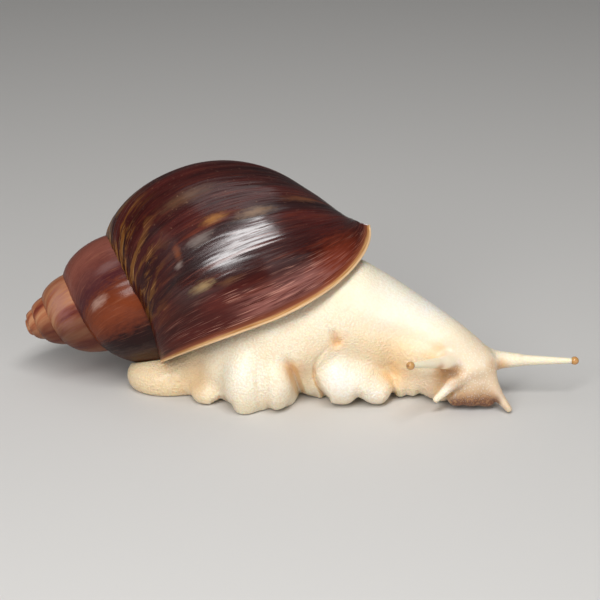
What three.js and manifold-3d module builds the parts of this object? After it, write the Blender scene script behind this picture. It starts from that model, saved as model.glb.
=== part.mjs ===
// Giant African land snail, life size, creeping with its head turned to its right.
// Millimetres. +X is ahead of the snail, +Y its left, +Z up. The origin is on the sole.
import * as THREE from 'three';
import { mergeVertices } from 'three/addons/utils/BufferGeometryUtils.js';
import Module from 'manifold-3d';

const wasm = await Module();
wasm.setup();

const TURN = 2 * Math.PI;
const DEGREE = Math.PI / 180;

// ---------------------------------------------------------------- driving dimensions

// Gap kept between neighbouring pieces.
const GAP = 0.3;
// Edges shorter than this are closed up.
const SLIVER = 0.02;
// Farther out than any part of the snail.
const FAR = 100;

// Shell: a cone of whorls about an axis that runs from the apex to the base.
const APEX = new THREE.Vector3(-57, 7, 10.5);
const AXIS_RISE = 18 * DEGREE;
const AXIS_TURN = 1.8 * DEGREE;
const TURNS = 4.8;
// Angle of the lip about the axis, measured up from the snail's right.
const LIP_ANGLE = -12.2 * DEGREE;
// At the suture the lip runs on ahead of the rest of its edge.
const LIP_SWEEP = 42 * DEGREE;
const LIP_SWEEP_POWER = 6.4;
// Each size of a whorl's section at the lip, and how fast it shrinks over each earlier turn.
const WHORL = {
  widestRadius: { lip: 25.5, fade: 0.547, bend: -0.021 },
  widestHeight: { lip: 51.8, fade: 0.706, bend: -0.048 },
  sutureRadius: { lip: 16.0, fade: 0.571, bend: -0.028 },
  sutureHeight: { lip: 30.0, fade: 0.679, bend: 0.009 },
  baseRadius: { lip: 4.8, fade: 0.547, bend: 0 },
  baseHeight: { lip: 74.6, fade: 0.442, bend: 0 },
};
// Near the lip the suture runs lower: by how much, over how many turns, and how sharply.
const SUTURE_DROP = { depth: 4, reach: 0.17, power: 1.5 };
// Share of the section's outline that lies between the suture and the widest point.
const SHOULDER_SHARE = 0.4;
const SHOULDER_POWER = 1.2;
const BASE_POWER = 1.155;
const WALL = 0.85;
// Grain of the shell's mesh: turns in one step, steps in one length, and points on an outline.
const WHORL_STEP = 1 / 24;
const LENGTH_STEPS = 9;
const OUTLINE_POINTS = 12;
const COLUMELLA_RADIUS = 3.2;
// Turns of the last whorl: how far its mouth is cut ahead of the lip and hollow behind it, and
// between which turns the mantle stands in it.
const MOUTH_AHEAD = -0.03;
const MOUTH_DEPTH = 0.08;
const MANTLE_FRONT = 0.014;
const MANTLE_BACK = 0.075;
// The whorls from here back stand inside the last one.
const INNER_TURNS = 0.56;

// Flesh: sections across the body, each as x, middle y, middle z, half width and half height.
const SECTIONS = [
  [-28.5, 0.6, 4, 0.6, 0.6], [-26, 0.5, 4.2, 3.8, 3.8], [-24, 0.1, 4.8, 5.2, 5.2],
  [-20, -1.2, 6.6, 7.2, 7.2], [-16, -2.4, 8.3, 8.8, 9.2], [-12, -3.1, 9.8, 10, 10.6],
  [-8, -3.1, 11.1, 10.9, 11.6], [-4, -3, 12.2, 11.4, 12], [0, -2.7, 13.3, 11.4, 12],
  [4, -2.1, 14.8, 11.1, 12.4], [8, -1.4, 15.8, 10.9, 12.3], [12, -1.1, 15.6, 10.5, 12],
  [16, -1.1, 14.4, 10, 11.1], [20, -1.6, 13, 9.4, 10.1], [24, -2.5, 11.7, 8.7, 8.9],
  [28, -3.7, 10.5, 7.8, 7.7], [32, -5.2, 9.3, 6.6, 6.4], [35, -6.4, 8.4, 5.4, 5.2],
  [37, -7, 8, 4.1, 3.9], [38.6, -7.2, 7.9, 2.2, 2.2], [39.3, -7.2, 7.9, 0.4, 0.4],
];
// Chain of balls [x, y, z, radius] along the foot, from the tail forward.
const FOOT = [[-18, -1, 4, 6], [-8, -3.6, 5, 9.4], [3, -0.4, 6, 8.6], [14, 0.2, 6, 7.8], [22.5, 0, 5, 5.8]];
const TAIL = { at: [-26.8, 0.6, 2.6], radii: [8.6, 7, 4.9] };

// Lobes of the foot's right edge, as ellipsoids, and how softly each joins the body.
const RIGHT_LOBES = [
  { at: [-18.6, -6.6, 2.2], radii: [3.6, 4.2, 3], soft: 1.6 },
  { at: [-11, -11, 5.6], radii: [4.4, 5.6, 7.4], soft: 1.6 },
  { at: [-5, -11.4, 6.1], radii: [4, 5, 6.1], soft: 1.2 },
  { at: [1.8, -6.6, 6], radii: [3.4, 4.4, 6], soft: 1.4 },
  { at: [7.4, -8.4, 6], radii: [4.6, 5.2, 5.8], soft: 1.6 },
  { at: [11.6, -8.6, 4.6], radii: [4.4, 4.4, 4.6], soft: 2.4 },
  { at: [15.8, -8.2, 3.4], radii: [3.6, 4, 3.4], soft: 1.8 },
  { at: [21, -4.2, 3.8], radii: [4.4, 4, 4], soft: 2.2 },
  { at: [25, -4.8, 4.2], radii: [3, 3.4, 3.6], soft: 2 },
  { at: [28.6, -7.4, 3.2], radii: [3.4, 3.2, 3], soft: 2 },
];
// Lobes of the left edge, broader and shallower.
const LEFT_LOBES = [
  { at: [-19.4, 5.6, 3.4], radii: [5.4, 4.2, 4] },
  { at: [-11.6, 7.6, 4.2], radii: [5.2, 4.4, 4.8] },
  { at: [-4.6, 8.2, 3.8], radii: [4.6, 4.3, 4.2] },
  { at: [3.6, 8.6, 4.4], radii: [5.6, 4.3, 4.9] },
  { at: [11.8, 7.8, 3.9], radii: [4.9, 4.2, 4.3] },
  { at: [19.2, 6.2, 4.1], radii: [5, 4, 4.3] },
  { at: [25.6, 3.4, 3.8], radii: [3.8, 3.4, 3.6] },
];
// How softly the other parts of the flesh join: width of each blend.
const SOFT = {
  foot: 2.5, footChain: 3, tail: 1.6, leftLobe: 2.2, crease: 1,
  mouthEdge: 0.8, rib: 1.2, ribs: 2.6, muzzle: 2, stalk: 1.6,
};
// Creases [x, y, z, radius] to [x, y, z, radius], cut in between the lobes.
const CREASES = [
  [[0, -16.5, -0.5, 1.5], [-1.2, -12.6, 6, 0.4]],
  [[11.9, -13.6, -0.5, 1], [11.7, -12.8, 3, 0.4]],
  [[18.8, -11.6, -0.5, 0.9], [19, -10, 3, 0.4]],
  [[-14.8, -11.8, -0.5, 1.2], [-16, -9.4, 2.6, 0.4]],
];

// Head.
const EYE_RADIUS = 0.85;
const EYE_SIDES = 14;
const EYE_RINGS = 10;
const STALK_SIDES = 10;
const FEELER_SIDES = 8;
// An upper tentacle's stalk: radii at its root and tip, its root's flare, and how the head swells
// to meet it, between two shares of its length.
const STALK = { rootRadius: 1.4, tipRadius: 0.5, taper: 0.7, flare: 0.8, flareFade: 9 };
const SWELL = { radius: 2.5, from: -0.15, to: 0.16 };
const STALKS = {
  right: { root: [31.6, -9.2, 9.4], eye: [21.3, -22, 13.5] },
  left: { root: [38.6, -5.2, 8.1], eye: [55.4, -5, 7.8] },
};
// Feelers, as balls [x, y, z, radius] from root to tip.
const FEELERS = {
  right: [[33.6, -10.6, 7.8, 1.9], [30.6, -12.7, 6.2, 1.25], [27, -14.2, 3.2, 0.64]],
  left: [[37.3, -9.2, 6.6, 1.8], [38.7, -11.4, 3.9, 1.3], [41.5, -13.8, 0.95, 0.64]],
};
// The muzzle: ribs of balls that fan from the crown down to the mouth's edge.
const MUZZLE = [
  [[33.4, -8.4, 7.6, 2.5], [31.8, -10.6, 4.8, 1.3], [31, -11.7, 2.3, 0.8]],
  [[34.6, -8.2, 7.6, 2.7], [34.4, -10.9, 5, 1.4], [34.2, -11.8, 2.4, 0.8]],
  [[35.6, -8, 7.4, 2.6], [36.8, -10.2, 5, 1.3], [37.4, -11.4, 2, 0.8]],
];
const MOUTH_EDGE = MUZZLE.map((rib) => rib[2]);

// Where the flesh is parted: the foot's top, its lengths, and the planes of trunk, neck and head.
const FOOT_TOP = 9.4;
const FOOT_CUTS = [-18.5, -4.6, 9.2];
const TRUNK_CUT = 8;
const HEAD_CUT = { at: [28.4, -4.6], facing: -40 * DEGREE };

// Grain of the flesh's mesh, finer on the head.
const BODY_GRAIN = 2.1;
const HEAD_GRAIN = 1.3;
const FLESH_BOX = new THREE.Box3(new THREE.Vector3(-40, -22, -9), new THREE.Vector3(46, 18, 34));

const COLOURS = {
  shell: { color: 0x4a211f, roughness: 0.28, metalness: 0 },
  mantle: { color: 0xd9b27c, roughness: 0.45, metalness: 0 },
  flesh: { color: 0xf0dfc3, roughness: 0.5, metalness: 0 },
  eye: { color: 0x9a5a2b, roughness: 0.15, metalness: 0 },
};

// ---------------------------------------------------------------- solids

function toSolid(vertices, triangles) {
  const mesh = new wasm.Mesh({
    numProp: 3,
    vertProperties: new Float32Array(vertices),
    triVerts: new Uint32Array(triangles),
  });
  return new wasm.Manifold(mesh);
}

function geometryToSolid(geometry) {
  geometry.deleteAttribute('normal');
  geometry.deleteAttribute('uv');
  const merged = mergeVertices(geometry, 1e-4);
  return toSolid(merged.attributes.position.array, merged.index.array);
}

function boxSolid(low, high) {
  const size = new THREE.Vector3().subVectors(high, low);
  const geometry = new THREE.BoxGeometry(size.x, size.y, size.z);
  geometry.translate((low.x + high.x) / 2, (low.y + high.y) / 2, (low.z + high.z) / 2);
  return geometryToSolid(geometry);
}

// A box of the space on the far side of an upright plane through a point.
function beyondPlane(point, angle, offset) {
  const reach = 2 * FAR;
  const geometry = new THREE.BoxGeometry(reach, reach, reach);
  geometry.translate(reach / 2 + offset, 0, 0);
  geometry.rotateZ(angle);
  geometry.translate(point[0], point[1], 0);
  return geometryToSolid(geometry);
}

function joinAll(solids) {
  return solids.reduce((sum, solid) => sum.add(solid));
}

function toGeometry(solid) {
  const mesh = solid.getMesh();
  const geometry = new THREE.BufferGeometry();
  geometry.setAttribute('position', new THREE.BufferAttribute(mesh.vertProperties, 3));
  geometry.setIndex(new THREE.BufferAttribute(mesh.triVerts, 1));
  geometry.computeVertexNormals();
  return geometry;
}

// The largest body of a solid, without the crumbs and slivers that a cut can leave.
function mainBody(solid) {
  const bodies = solid.decompose();
  return bodies.reduce((best, body) => (body.volume() > best.volume() ? body : best)).simplify(SLIVER);
}

// ---------------------------------------------------------------- shell

const axis = new THREE.Vector3(
  Math.cos(AXIS_RISE) * Math.cos(AXIS_TURN),
  Math.cos(AXIS_RISE) * Math.sin(AXIS_TURN),
  Math.sin(AXIS_RISE),
);
const upward = new THREE.Vector3(0, 0, 1).addScaledVector(axis, -axis.z).normalize();
const rightward = new THREE.Vector3().crossVectors(axis, upward);

function sizeAt(law, turnsBack) {
  return law.lip * Math.exp(-law.fade * turnsBack - law.bend * turnsBack * turnsBack);
}

function sutureHeight(turnsBack) {
  const nearness = Math.min(Math.max(1 - turnsBack / SUTURE_DROP.reach, 0), 1);
  return sizeAt(WHORL.sutureHeight, turnsBack) - SUTURE_DROP.depth * nearness ** SUTURE_DROP.power;
}

// Outline of a whorl's section, from the suture (0) to the base (1), as height and radius.
function outline(turnsBack, share) {
  const widest = sizeAt(WHORL.widestHeight, turnsBack);
  const radius = sizeAt(WHORL.widestRadius, turnsBack);
  if (share < SHOULDER_SHARE) {
    const angle = (share / SHOULDER_SHARE) * Math.PI / 2;
    const suture = sutureHeight(turnsBack);
    const sutureRadius = sizeAt(WHORL.sutureRadius, turnsBack);
    return {
      height: widest - (widest - suture) * Math.cos(angle),
      radius: sutureRadius + (radius - sutureRadius) * Math.sin(angle) ** SHOULDER_POWER,
    };
  }
  const angle = ((share - SHOULDER_SHARE) / (1 - SHOULDER_SHARE)) * Math.PI / 2;
  const base = Math.max(sizeAt(WHORL.baseHeight, turnsBack), widest * 1.05);
  const baseRadius = sizeAt(WHORL.baseRadius, turnsBack);
  return {
    height: widest + (base - widest) * Math.sin(angle),
    radius: baseRadius + (radius - baseRadius) * Math.abs(Math.cos(angle)) ** BASE_POWER,
  };
}

// The same outline moved out by a distance along its own normal.
function grownOutline(turnsBack, share, grow) {
  const step = 0.01;
  const here = outline(turnsBack, share);
  const before = outline(turnsBack, Math.max(share - step, 0));
  const after = outline(turnsBack, Math.min(share + step, 1));
  const rise = after.height - before.height;
  const run = after.radius - before.radius;
  const length = Math.hypot(rise, run);
  return {
    height: here.height - grow * run / length,
    radius: Math.max(here.radius + grow * rise / length, 0.05),
  };
}

function aboutAxis(height, radius, angle) {
  return APEX.clone()
    .addScaledVector(axis, height)
    .addScaledVector(rightward, radius * Math.cos(angle))
    .addScaledVector(upward, radius * Math.sin(angle));
}

function lipAngle(turnsBack, share) {
  return LIP_ANGLE + TURN * turnsBack - LIP_SWEEP * (1 - share) ** LIP_SWEEP_POWER;
}

// A closed sweep of the section, filled in to the axis.
function whorlSolid(from, to, steps, points, grow = 0) {
  const vertices = [];
  const triangles = [];
  const ring = points + 1;
  for (let i = 0; i <= steps; i += 1) {
    const turnsBack = from + (to - from) * i / steps;
    for (let j = 0; j <= points; j += 1) {
      const edge = grownOutline(turnsBack, j / points, grow);
      vertices.push(...aboutAxis(edge.height, edge.radius, lipAngle(turnsBack, j / points)).toArray());
    }
  }
  const top = vertices.length / 3;
  const sutureEnd = sutureHeight(to) - grow;
  const baseEnd = grownOutline(to, 1, grow).height;
  vertices.push(...aboutAxis(sutureEnd, 0, 0).toArray(), ...aboutAxis(baseEnd, 0, 0).toArray());
  const base = top + 1;
  for (let i = 0; i < steps; i += 1) {
    for (let j = 0; j < points; j += 1) {
      const a = i * ring + j;
      triangles.push(a, a + ring, a + 1, a + 1, a + ring, a + ring + 1);
    }
    triangles.push(i * ring, top, (i + 1) * ring);
    triangles.push(i * ring + points, (i + 1) * ring + points, base);
  }
  for (const [start, flip] of [[0, false], [steps * ring, true]]) {
    const fan = [];
    for (let j = 0; j < points; j += 1) {
      fan.push([top, start + j, start + j + 1]);
    }
    fan.push([top, start + points, base]);
    for (const [a, b, c] of fan) {
      triangles.push(...(flip ? [a, c, b] : [a, b, c]));
    }
  }
  return outward(toSolid(vertices, triangles), vertices, triangles);
}

// A closed sweep of the section between its outline and the columella.
function channelSolid(from, to, steps, points, grow, core) {
  const vertices = [];
  const triangles = [];
  const ring = points + 3;
  for (let i = 0; i <= steps; i += 1) {
    const turnsBack = from + (to - from) * i / steps;
    const last = [];
    for (let j = 0; j <= points; j += 1) {
      const edge = grownOutline(turnsBack, j / points, grow);
      last.push(edge);
      vertices.push(...aboutAxis(edge.height, edge.radius, lipAngle(turnsBack, j / points)).toArray());
    }
    vertices.push(...aboutAxis(last[points].height, core, lipAngle(turnsBack, 1)).toArray());
    vertices.push(...aboutAxis(last[0].height, core, lipAngle(turnsBack, 0)).toArray());
  }
  for (let i = 0; i < steps; i += 1) {
    for (let j = 0; j < ring; j += 1) {
      const a = i * ring + j;
      const b = i * ring + (j + 1) % ring;
      triangles.push(a, a + ring, b, b, a + ring, b + ring);
    }
  }
  for (const [start, flip] of [[0, false], [steps * ring, true]]) {
    const hub = start + ring - 1;
    for (let j = 0; j < ring - 2; j += 1) {
      triangles.push(...(flip ? [hub, start + j + 1, start + j] : [hub, start + j, start + j + 1]));
    }
  }
  return outward(toSolid(vertices, triangles), vertices, triangles);
}

// Turns a solid right side out if its sweep ran the other way.
function outward(solid, vertices, triangles) {
  if (solid.volume() > 0) {
    return solid;
  }
  const flipped = [];
  for (let i = 0; i < triangles.length; i += 3) {
    flipped.push(triangles[i], triangles[i + 2], triangles[i + 1]);
  }
  return toSolid(vertices, flipped);
}

// The whorls from some turns back to the apex, joined from lengths that share one step.
function whorls(from, grow = 0) {
  const solids = [];
  for (let start = from; start < TURNS; start += WHORL_STEP * LENGTH_STEPS) {
    const steps = LENGTH_STEPS + 1;
    solids.push(whorlSolid(start + WHORL_STEP * steps, start, steps, OUTLINE_POINTS, grow));
  }
  return joinAll(solids);
}

const mouth = channelSolid(MOUTH_DEPTH, MOUTH_AHEAD, 6, OUTLINE_POINTS, -WALL, COLUMELLA_RADIUS)
  .subtract(whorls(INNER_TURNS));
const shellSolid = whorls(0).subtract(mouth);
const mantleSolid = channelSolid(
  MANTLE_BACK, MANTLE_FRONT, 5, OUTLINE_POINTS, -WALL - GAP, COLUMELLA_RADIUS + GAP,
).subtract(whorls(INNER_TURNS, GAP));

// ---------------------------------------------------------------- flesh

// Smooth least and greatest of two distances, blended over a width.
function blend(a, b, width) {
  const share = Math.min(Math.max(0.5 + 0.5 * (b - a) / width, 0), 1);
  return b + (a - b) * share - width * share * (1 - share);
}

function carve(a, b, width) {
  return -blend(-a, b, width);
}

function ellipsoid(x, y, z, at, radii) {
  const dx = x - at[0];
  const dy = y - at[1];
  const dz = z - at[2];
  const near = Math.hypot(dx / radii[0], dy / radii[1], dz / radii[2]);
  const slope = Math.hypot(dx / radii[0] ** 2, dy / radii[1] ** 2, dz / radii[2] ** 2);
  return near * (near - 1) / (slope + 1e-9);
}

// Distance to a tapered rod between two balls [x, y, z, radius].
function rod(x, y, z, from, to) {
  const along = [to[0] - from[0], to[1] - from[1], to[2] - from[2]];
  const offset = [x - from[0], y - from[1], z - from[2]];
  const length2 = along[0] ** 2 + along[1] ** 2 + along[2] ** 2;
  const dot = offset[0] * along[0] + offset[1] * along[1] + offset[2] * along[2];
  const share = Math.min(Math.max(dot / length2, 0), 1);
  const gap = Math.hypot(
    offset[0] - share * along[0],
    offset[1] - share * along[1],
    offset[2] - share * along[2],
  );
  return gap - (from[3] + (to[3] - from[3]) * share);
}

function chain(x, y, z, balls, width) {
  let distance = rod(x, y, z, balls[0], balls[1]);
  for (let i = 1; i < balls.length - 1; i += 1) {
    distance = blend(distance, rod(x, y, z, balls[i], balls[i + 1]), width);
  }
  return distance;
}

function between(a, b, share) {
  return a.map((value, i) => value + (b[i] - value) * share);
}

// Slope of each column of the sections at each of them, held so that nothing overshoots.
const sectionSlopes = SECTIONS.map((section, i) => section.map((value, column) => {
  const rise = (a, b) => (b[column] - a[column]) / (b[0] - a[0]);
  if (i === 0) {
    return rise(section, SECTIONS[1]);
  }
  if (i === SECTIONS.length - 1) {
    return rise(SECTIONS[i - 1], section);
  }
  const before = rise(SECTIONS[i - 1], section);
  const after = rise(section, SECTIONS[i + 1]);
  return before * after > 0 ? 2 * before * after / (before + after) : 0;
}));

// Middle and half sizes of the body's section at x, as a smooth curve through the sections.
function sectionAt(x) {
  let i = 0;
  while (i < SECTIONS.length - 2 && x > SECTIONS[i + 1][0]) {
    i += 1;
  }
  const length = SECTIONS[i + 1][0] - SECTIONS[i][0];
  const t = Math.min(Math.max((x - SECTIONS[i][0]) / length, 0), 1);
  const rest = 1 - t;
  return [1, 2, 3, 4].map((column) => (
    SECTIONS[i][column] * rest * rest * (1 + 2 * t)
    + sectionSlopes[i][column] * length * t * rest * rest
    + SECTIONS[i + 1][column] * t * t * (3 - 2 * t)
    - sectionSlopes[i + 1][column] * length * t * t * rest));
}

// Distance to the body's long swelling, from the tail to the head.
function sweep(x, y, z) {
  const step = 0.05;
  const first = SECTIONS[0][0];
  const last = SECTIONS[SECTIONS.length - 1][0];
  const held = Math.min(Math.max(x, first), last);
  const [middleY, middleZ, wide, high] = sectionAt(held);
  const before = sectionAt(Math.max(held - step, first));
  const slopes = sectionAt(Math.min(held + step, last)).map((value, i) => (value - before[i]) / (2 * step));
  const a = y - middleY;
  const b = z - middleZ;
  const near = Math.hypot(a / wide, b / high) + 1e-6;
  const steep = Math.hypot(a / wide ** 2, b / high ** 2) + 1e-6;
  const side = a / wide / near;
  const top = b / high / near;
  const lean = side * slopes[0] + top * slopes[1] + side * side * slopes[2] + top * top * slopes[3];
  const distance = near * (near - 1) / steep / Math.hypot(1, Math.min(Math.max(lean, -3), 3));
  return x === held ? distance : Math.hypot(Math.max(distance, 0), x - held);
}

const stalkRoots = Object.values(STALKS).map(({ root, eye }) => [
  [...between(root, eye, SWELL.from), SWELL.radius],
  [...between(root, eye, SWELL.to), STALK.rootRadius],
]);

// Signed distance, roughly, to the flesh: negative inside.
function flesh(x, y, z) {
  let distance = sweep(x, y, z);
  distance = blend(distance, chain(x, y, z, FOOT, SOFT.footChain), SOFT.foot);
  distance = blend(distance, ellipsoid(x, y, z, TAIL.at, TAIL.radii), SOFT.tail);
  let muzzle = chain(x, y, z, MOUTH_EDGE, SOFT.mouthEdge);
  for (const rib of MUZZLE) {
    muzzle = blend(muzzle, chain(x, y, z, rib, SOFT.rib), SOFT.ribs);
  }
  distance = blend(distance, muzzle, SOFT.muzzle);
  for (const [from, to] of stalkRoots) {
    distance = blend(distance, rod(x, y, z, from, to), SOFT.stalk);
  }
  for (const lobe of RIGHT_LOBES) {
    distance = blend(distance, ellipsoid(x, y, z, lobe.at, lobe.radii), lobe.soft);
  }
  for (const [from, to] of CREASES) {
    distance = carve(distance, rod(x, y, z, from, to), SOFT.crease);
  }
  for (const lobe of LEFT_LOBES) {
    distance = blend(distance, ellipsoid(x, y, z, lobe.at, lobe.radii), SOFT.leftLobe);
  }
  return distance;
}

// Turns the weakest value about wherever two like corners of a cell meet only across it, so that
// the net never pinches itself.
function untangle(value, cells, count, at, stride) {
  const planes = [[0, 1], [1, 2], [2, 0]];
  const crossings = planes.map(([u, v]) => [[0, stride[u] + stride[v]], [stride[u], stride[v]]]);
  const whole = stride[0] + stride[1] + stride[2];
  const diagonals = [0, 1, 2].map((n) => [stride[n], whole - stride[n]]);
  diagonals.push([0, whole]);
  const corners = [0, ...stride, ...stride.map((step) => whole - step), whole];
  const inside = (index) => value[index] < 0;
  let changes = 1;
  while (changes > 0) {
    changes = 0;
    for (const cell of cells) {
      if (cell.some((side, n) => side >= count[n] - 1)) {
        continue;
      }
      const a = at(cell);
      const knots = crossings
        .filter(([[p, q], [r, s]]) => inside(a + p) === inside(a + q)
          && inside(a + r) === inside(a + s) && inside(a + p) !== inside(a + r))
        .map((pairs) => pairs.flat());
      const within = corners.filter((corner) => inside(a + corner));
      const lone = within.length === 2 ? within : corners.filter((corner) => !inside(a + corner));
      if (lone.length === 2 && diagonals.some(([p, q]) => lone.includes(p) && lone.includes(q))) {
        knots.push(lone);
      }
      if (knots.length > 0) {
        const weakest = knots[0].reduce((best, corner) => (
          Math.abs(value[a + corner]) < Math.abs(value[a + best]) ? corner : best));
        value[a + weakest] *= -1;
        changes += 1;
      }
    }
  }
}

// Surface nets: one vertex in each cell that the surface crosses, one quad on each crossed edge.
function fleshSolid(grain, grow) {
  const size = new THREE.Vector3().subVectors(FLESH_BOX.max, FLESH_BOX.min);
  const count = size.toArray().map((side) => Math.ceil(side / grain) + 1);
  const low = FLESH_BOX.min.toArray();
  const value = new Float64Array(count[0] * count[1] * count[2]);
  const stride = [1, count[0], count[0] * count[1]];
  const at = (cell) => cell[0] + cell[1] * stride[1] + cell[2] * stride[2];
  const cells = [];
  for (let k = 0; k < count[2]; k += 1) {
    for (let j = 0; j < count[1]; j += 1) {
      for (let i = 0; i < count[0]; i += 1) {
        value[at([i, j, k])] = flesh(low[0] + i * grain, low[1] + j * grain, low[2] + k * grain) - grow;
        cells.push([i, j, k]);
      }
    }
  }
  untangle(value, cells, count, at, stride);
  const corners = [0, 1, 2, 3, 4, 5, 6, 7].map((n) => [n & 1, (n >> 1) & 1, n >> 2]);
  const vertexOf = new Map();
  const vertices = [];
  for (const cell of cells) {
    if (cell.some((side, n) => side >= count[n] - 1)) {
      continue;
    }
    const sum = [0, 0, 0];
    let crossings = 0;
    for (const corner of corners) {
      const a = at(cell.map((side, n) => side + corner[n]));
      for (let n = 0; n < 3; n += 1) {
        if (corner[n] === 1) {
          continue;
        }
        const b = a + stride[n];
        if ((value[a] < 0) !== (value[b] < 0)) {
          const share = value[a] / (value[a] - value[b]);
          corner.forEach((side, m) => {
            sum[m] += side + (m === n ? share : 0);
          });
          crossings += 1;
        }
      }
    }
    if (crossings > 0) {
      vertexOf.set(at(cell), vertices.length / 3);
      vertices.push(...cell.map((side, n) => low[n] + (side + sum[n] / crossings) * grain));
    }
  }
  const triangles = [];
  for (const cell of cells) {
    for (let n = 0; n < 3; n += 1) {
      const u = (n + 1) % 3;
      const v = (n + 2) % 3;
      if (cell[n] >= count[n] - 1 || cell[u] === 0 || cell[v] === 0) {
        continue;
      }
      const a = at(cell);
      const inside = value[a] < 0;
      if (inside === (value[a + stride[n]] < 0)) {
        continue;
      }
      const around = [a - stride[u] - stride[v], a - stride[v], a, a - stride[u]];
      const quad = around.map((key) => vertexOf.get(key));
      if (!inside) {
        quad.reverse();
      }
      triangles.push(quad[0], quad[1], quad[2], quad[0], quad[2], quad[3]);
    }
  }
  return toSolid(vertices, triangles);
}

// A round tube through balls [x, y, z, radius], closed by a point at each end.
function taperedTube(balls, sides) {
  const vertices = [];
  const triangles = [];
  const first = new THREE.Vector3(...balls[0]);
  const last = new THREE.Vector3(...balls[balls.length - 1]);
  const along = new THREE.Vector3().subVectors(last, first).normalize();
  const across = new THREE.Vector3(0, 0, 1).cross(along).normalize();
  const over = new THREE.Vector3().crossVectors(along, across);
  for (const [x, y, z, radius] of balls) {
    for (let j = 0; j < sides; j += 1) {
      const angle = TURN * j / sides;
      const rim = new THREE.Vector3(x, y, z)
        .addScaledVector(across, radius * Math.cos(angle))
        .addScaledVector(over, radius * Math.sin(angle));
      vertices.push(...rim.toArray());
    }
  }
  const start = vertices.length / 3;
  vertices.push(...balls[0].slice(0, 3), ...balls[balls.length - 1].slice(0, 3));
  for (let j = 0; j < sides; j += 1) {
    const next = (j + 1) % sides;
    for (let i = 0; i < balls.length - 1; i += 1) {
      const a = i * sides;
      triangles.push(a + j, a + next, a + sides + next, a + j, a + sides + next, a + sides + j);
    }
    const end = (balls.length - 1) * sides;
    triangles.push(start, next, j, start + 1, end + j, end + next);
  }
  return outward(toSolid(vertices, triangles), vertices, triangles);
}

function stalkSolid({ root, eye }) {
  const shares = [-0.1, 0.02, 0.1, 0.22, 0.45, 0.7, 0.9];
  const balls = shares.map((share) => {
    const out = Math.max(share, 0);
    const flare = STALK.rootRadius * STALK.flare * Math.exp(-STALK.flareFade * out);
    const radius = STALK.rootRadius + (STALK.tipRadius - STALK.rootRadius) * out ** STALK.taper;
    return [...between(root, eye, share), Math.min(radius + flare, SWELL.radius)];
  });
  const length = new THREE.Vector3(...root).distanceTo(new THREE.Vector3(...eye));
  const end = 1 - (EYE_RADIUS + GAP * 0.5) / length;
  balls.push([...between(root, eye, end), STALK.tipRadius]);
  return taperedTube(balls, STALK_SIDES);
}

function feelerSolid(balls) {
  const [root, middle, tip] = balls;
  const shares = [0, 0.5];
  const rings = [
    ...shares.map((share) => between(root, middle, share)),
    ...[...shares, 1].map((share) => between(middle, tip, share)),
  ];
  const blunt = between(middle, tip, 1.12);
  rings.push([...blunt.slice(0, 3), tip[3] * 0.6]);
  return taperedTube(rings, FEELER_SIDES);
}

function eyeGeometry(at) {
  const geometry = new THREE.SphereGeometry(EYE_RADIUS, EYE_SIDES, EYE_RINGS);
  geometry.translate(...at);
  return toGeometry(geometryToSolid(geometry));
}

const aboveFloor = boxSolid(new THREE.Vector3(-FAR, -FAR, 0), new THREE.Vector3(FAR, FAR, FAR));
const shellRoom = whorls(0, GAP).add(whorlSolid(0.05, -0.006, 3, OUTLINE_POINTS, GAP));
const fleshWhole = fleshSolid(BODY_GRAIN, 0).intersect(aboveFloor).subtract(shellRoom);
const headWhole = fleshSolid(HEAD_GRAIN, 0).intersect(aboveFloor);
const headRoom = fleshSolid(HEAD_GRAIN, GAP);

// The flesh between two heights and two lengthwise planes.
function fleshPart(x0, x1, z0, z1) {
  const low = new THREE.Vector3(x0, -FAR, z0);
  const high = new THREE.Vector3(x1, FAR, z1);
  return fleshWhole.intersect(boxSolid(low, high));
}

const headSide = beyondPlane(HEAD_CUT.at, HEAD_CUT.facing, GAP / 2);
const neckSide = beyondPlane(HEAD_CUT.at, HEAD_CUT.facing, -GAP / 2);
const half = GAP / 2;
const [tailCut, rearCut, middleCut] = FOOT_CUTS;
const footTop = FOOT_TOP - half;
const upperFloor = FOOT_TOP + half;
const solids = {
  shell: shellSolid,
  mantle_collar: mantleSolid,
  trunk: fleshPart(-FAR, TRUNK_CUT - half, upperFloor, FAR),
  neck: fleshPart(TRUNK_CUT + half, FAR, upperFloor, FAR).subtract(neckSide),
  head: headWhole.intersect(headSide),
  foot_front: fleshPart(middleCut + half, FAR, 0, footTop).subtract(neckSide),
  foot_middle: fleshPart(rearCut + half, middleCut - half, 0, footTop),
  foot_rear: fleshPart(tailCut + half, rearCut - half, 0, footTop),
  tail: fleshPart(-FAR, tailCut - half, 0, footTop),
};
for (const [side, stalk] of Object.entries(STALKS)) {
  solids[`upper_tentacle_${side}`] = stalkSolid(stalk).subtract(headRoom);
}
for (const [side, feeler] of Object.entries(FEELERS)) {
  solids[`lower_tentacle_${side}`] = feelerSolid(feeler).subtract(headRoom);
}

// ---------------------------------------------------------------- the snail

function materialFor(name) {
  if (name === 'shell') {
    return new THREE.MeshStandardMaterial(COLOURS.shell);
  }
  if (name === 'mantle_collar') {
    return new THREE.MeshStandardMaterial(COLOURS.mantle);
  }
  return new THREE.MeshStandardMaterial(name.startsWith('eye_') ? COLOURS.eye : COLOURS.flesh);
}

const group = new THREE.Group();

function addMesh(name, geometry) {
  const mesh = new THREE.Mesh(geometry, materialFor(name));
  mesh.name = name;
  group.add(mesh);
}

for (const [name, solid] of Object.entries(solids)) {
  addMesh(name, toGeometry(mainBody(solid)));
}
for (const [side, { eye }] of Object.entries(STALKS)) {
  addMesh(`eye_${side}`, eyeGeometry(eye));
}

export default group;
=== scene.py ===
import math
import bpy
import numpy as np
from mathutils import Matrix, Vector


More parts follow.
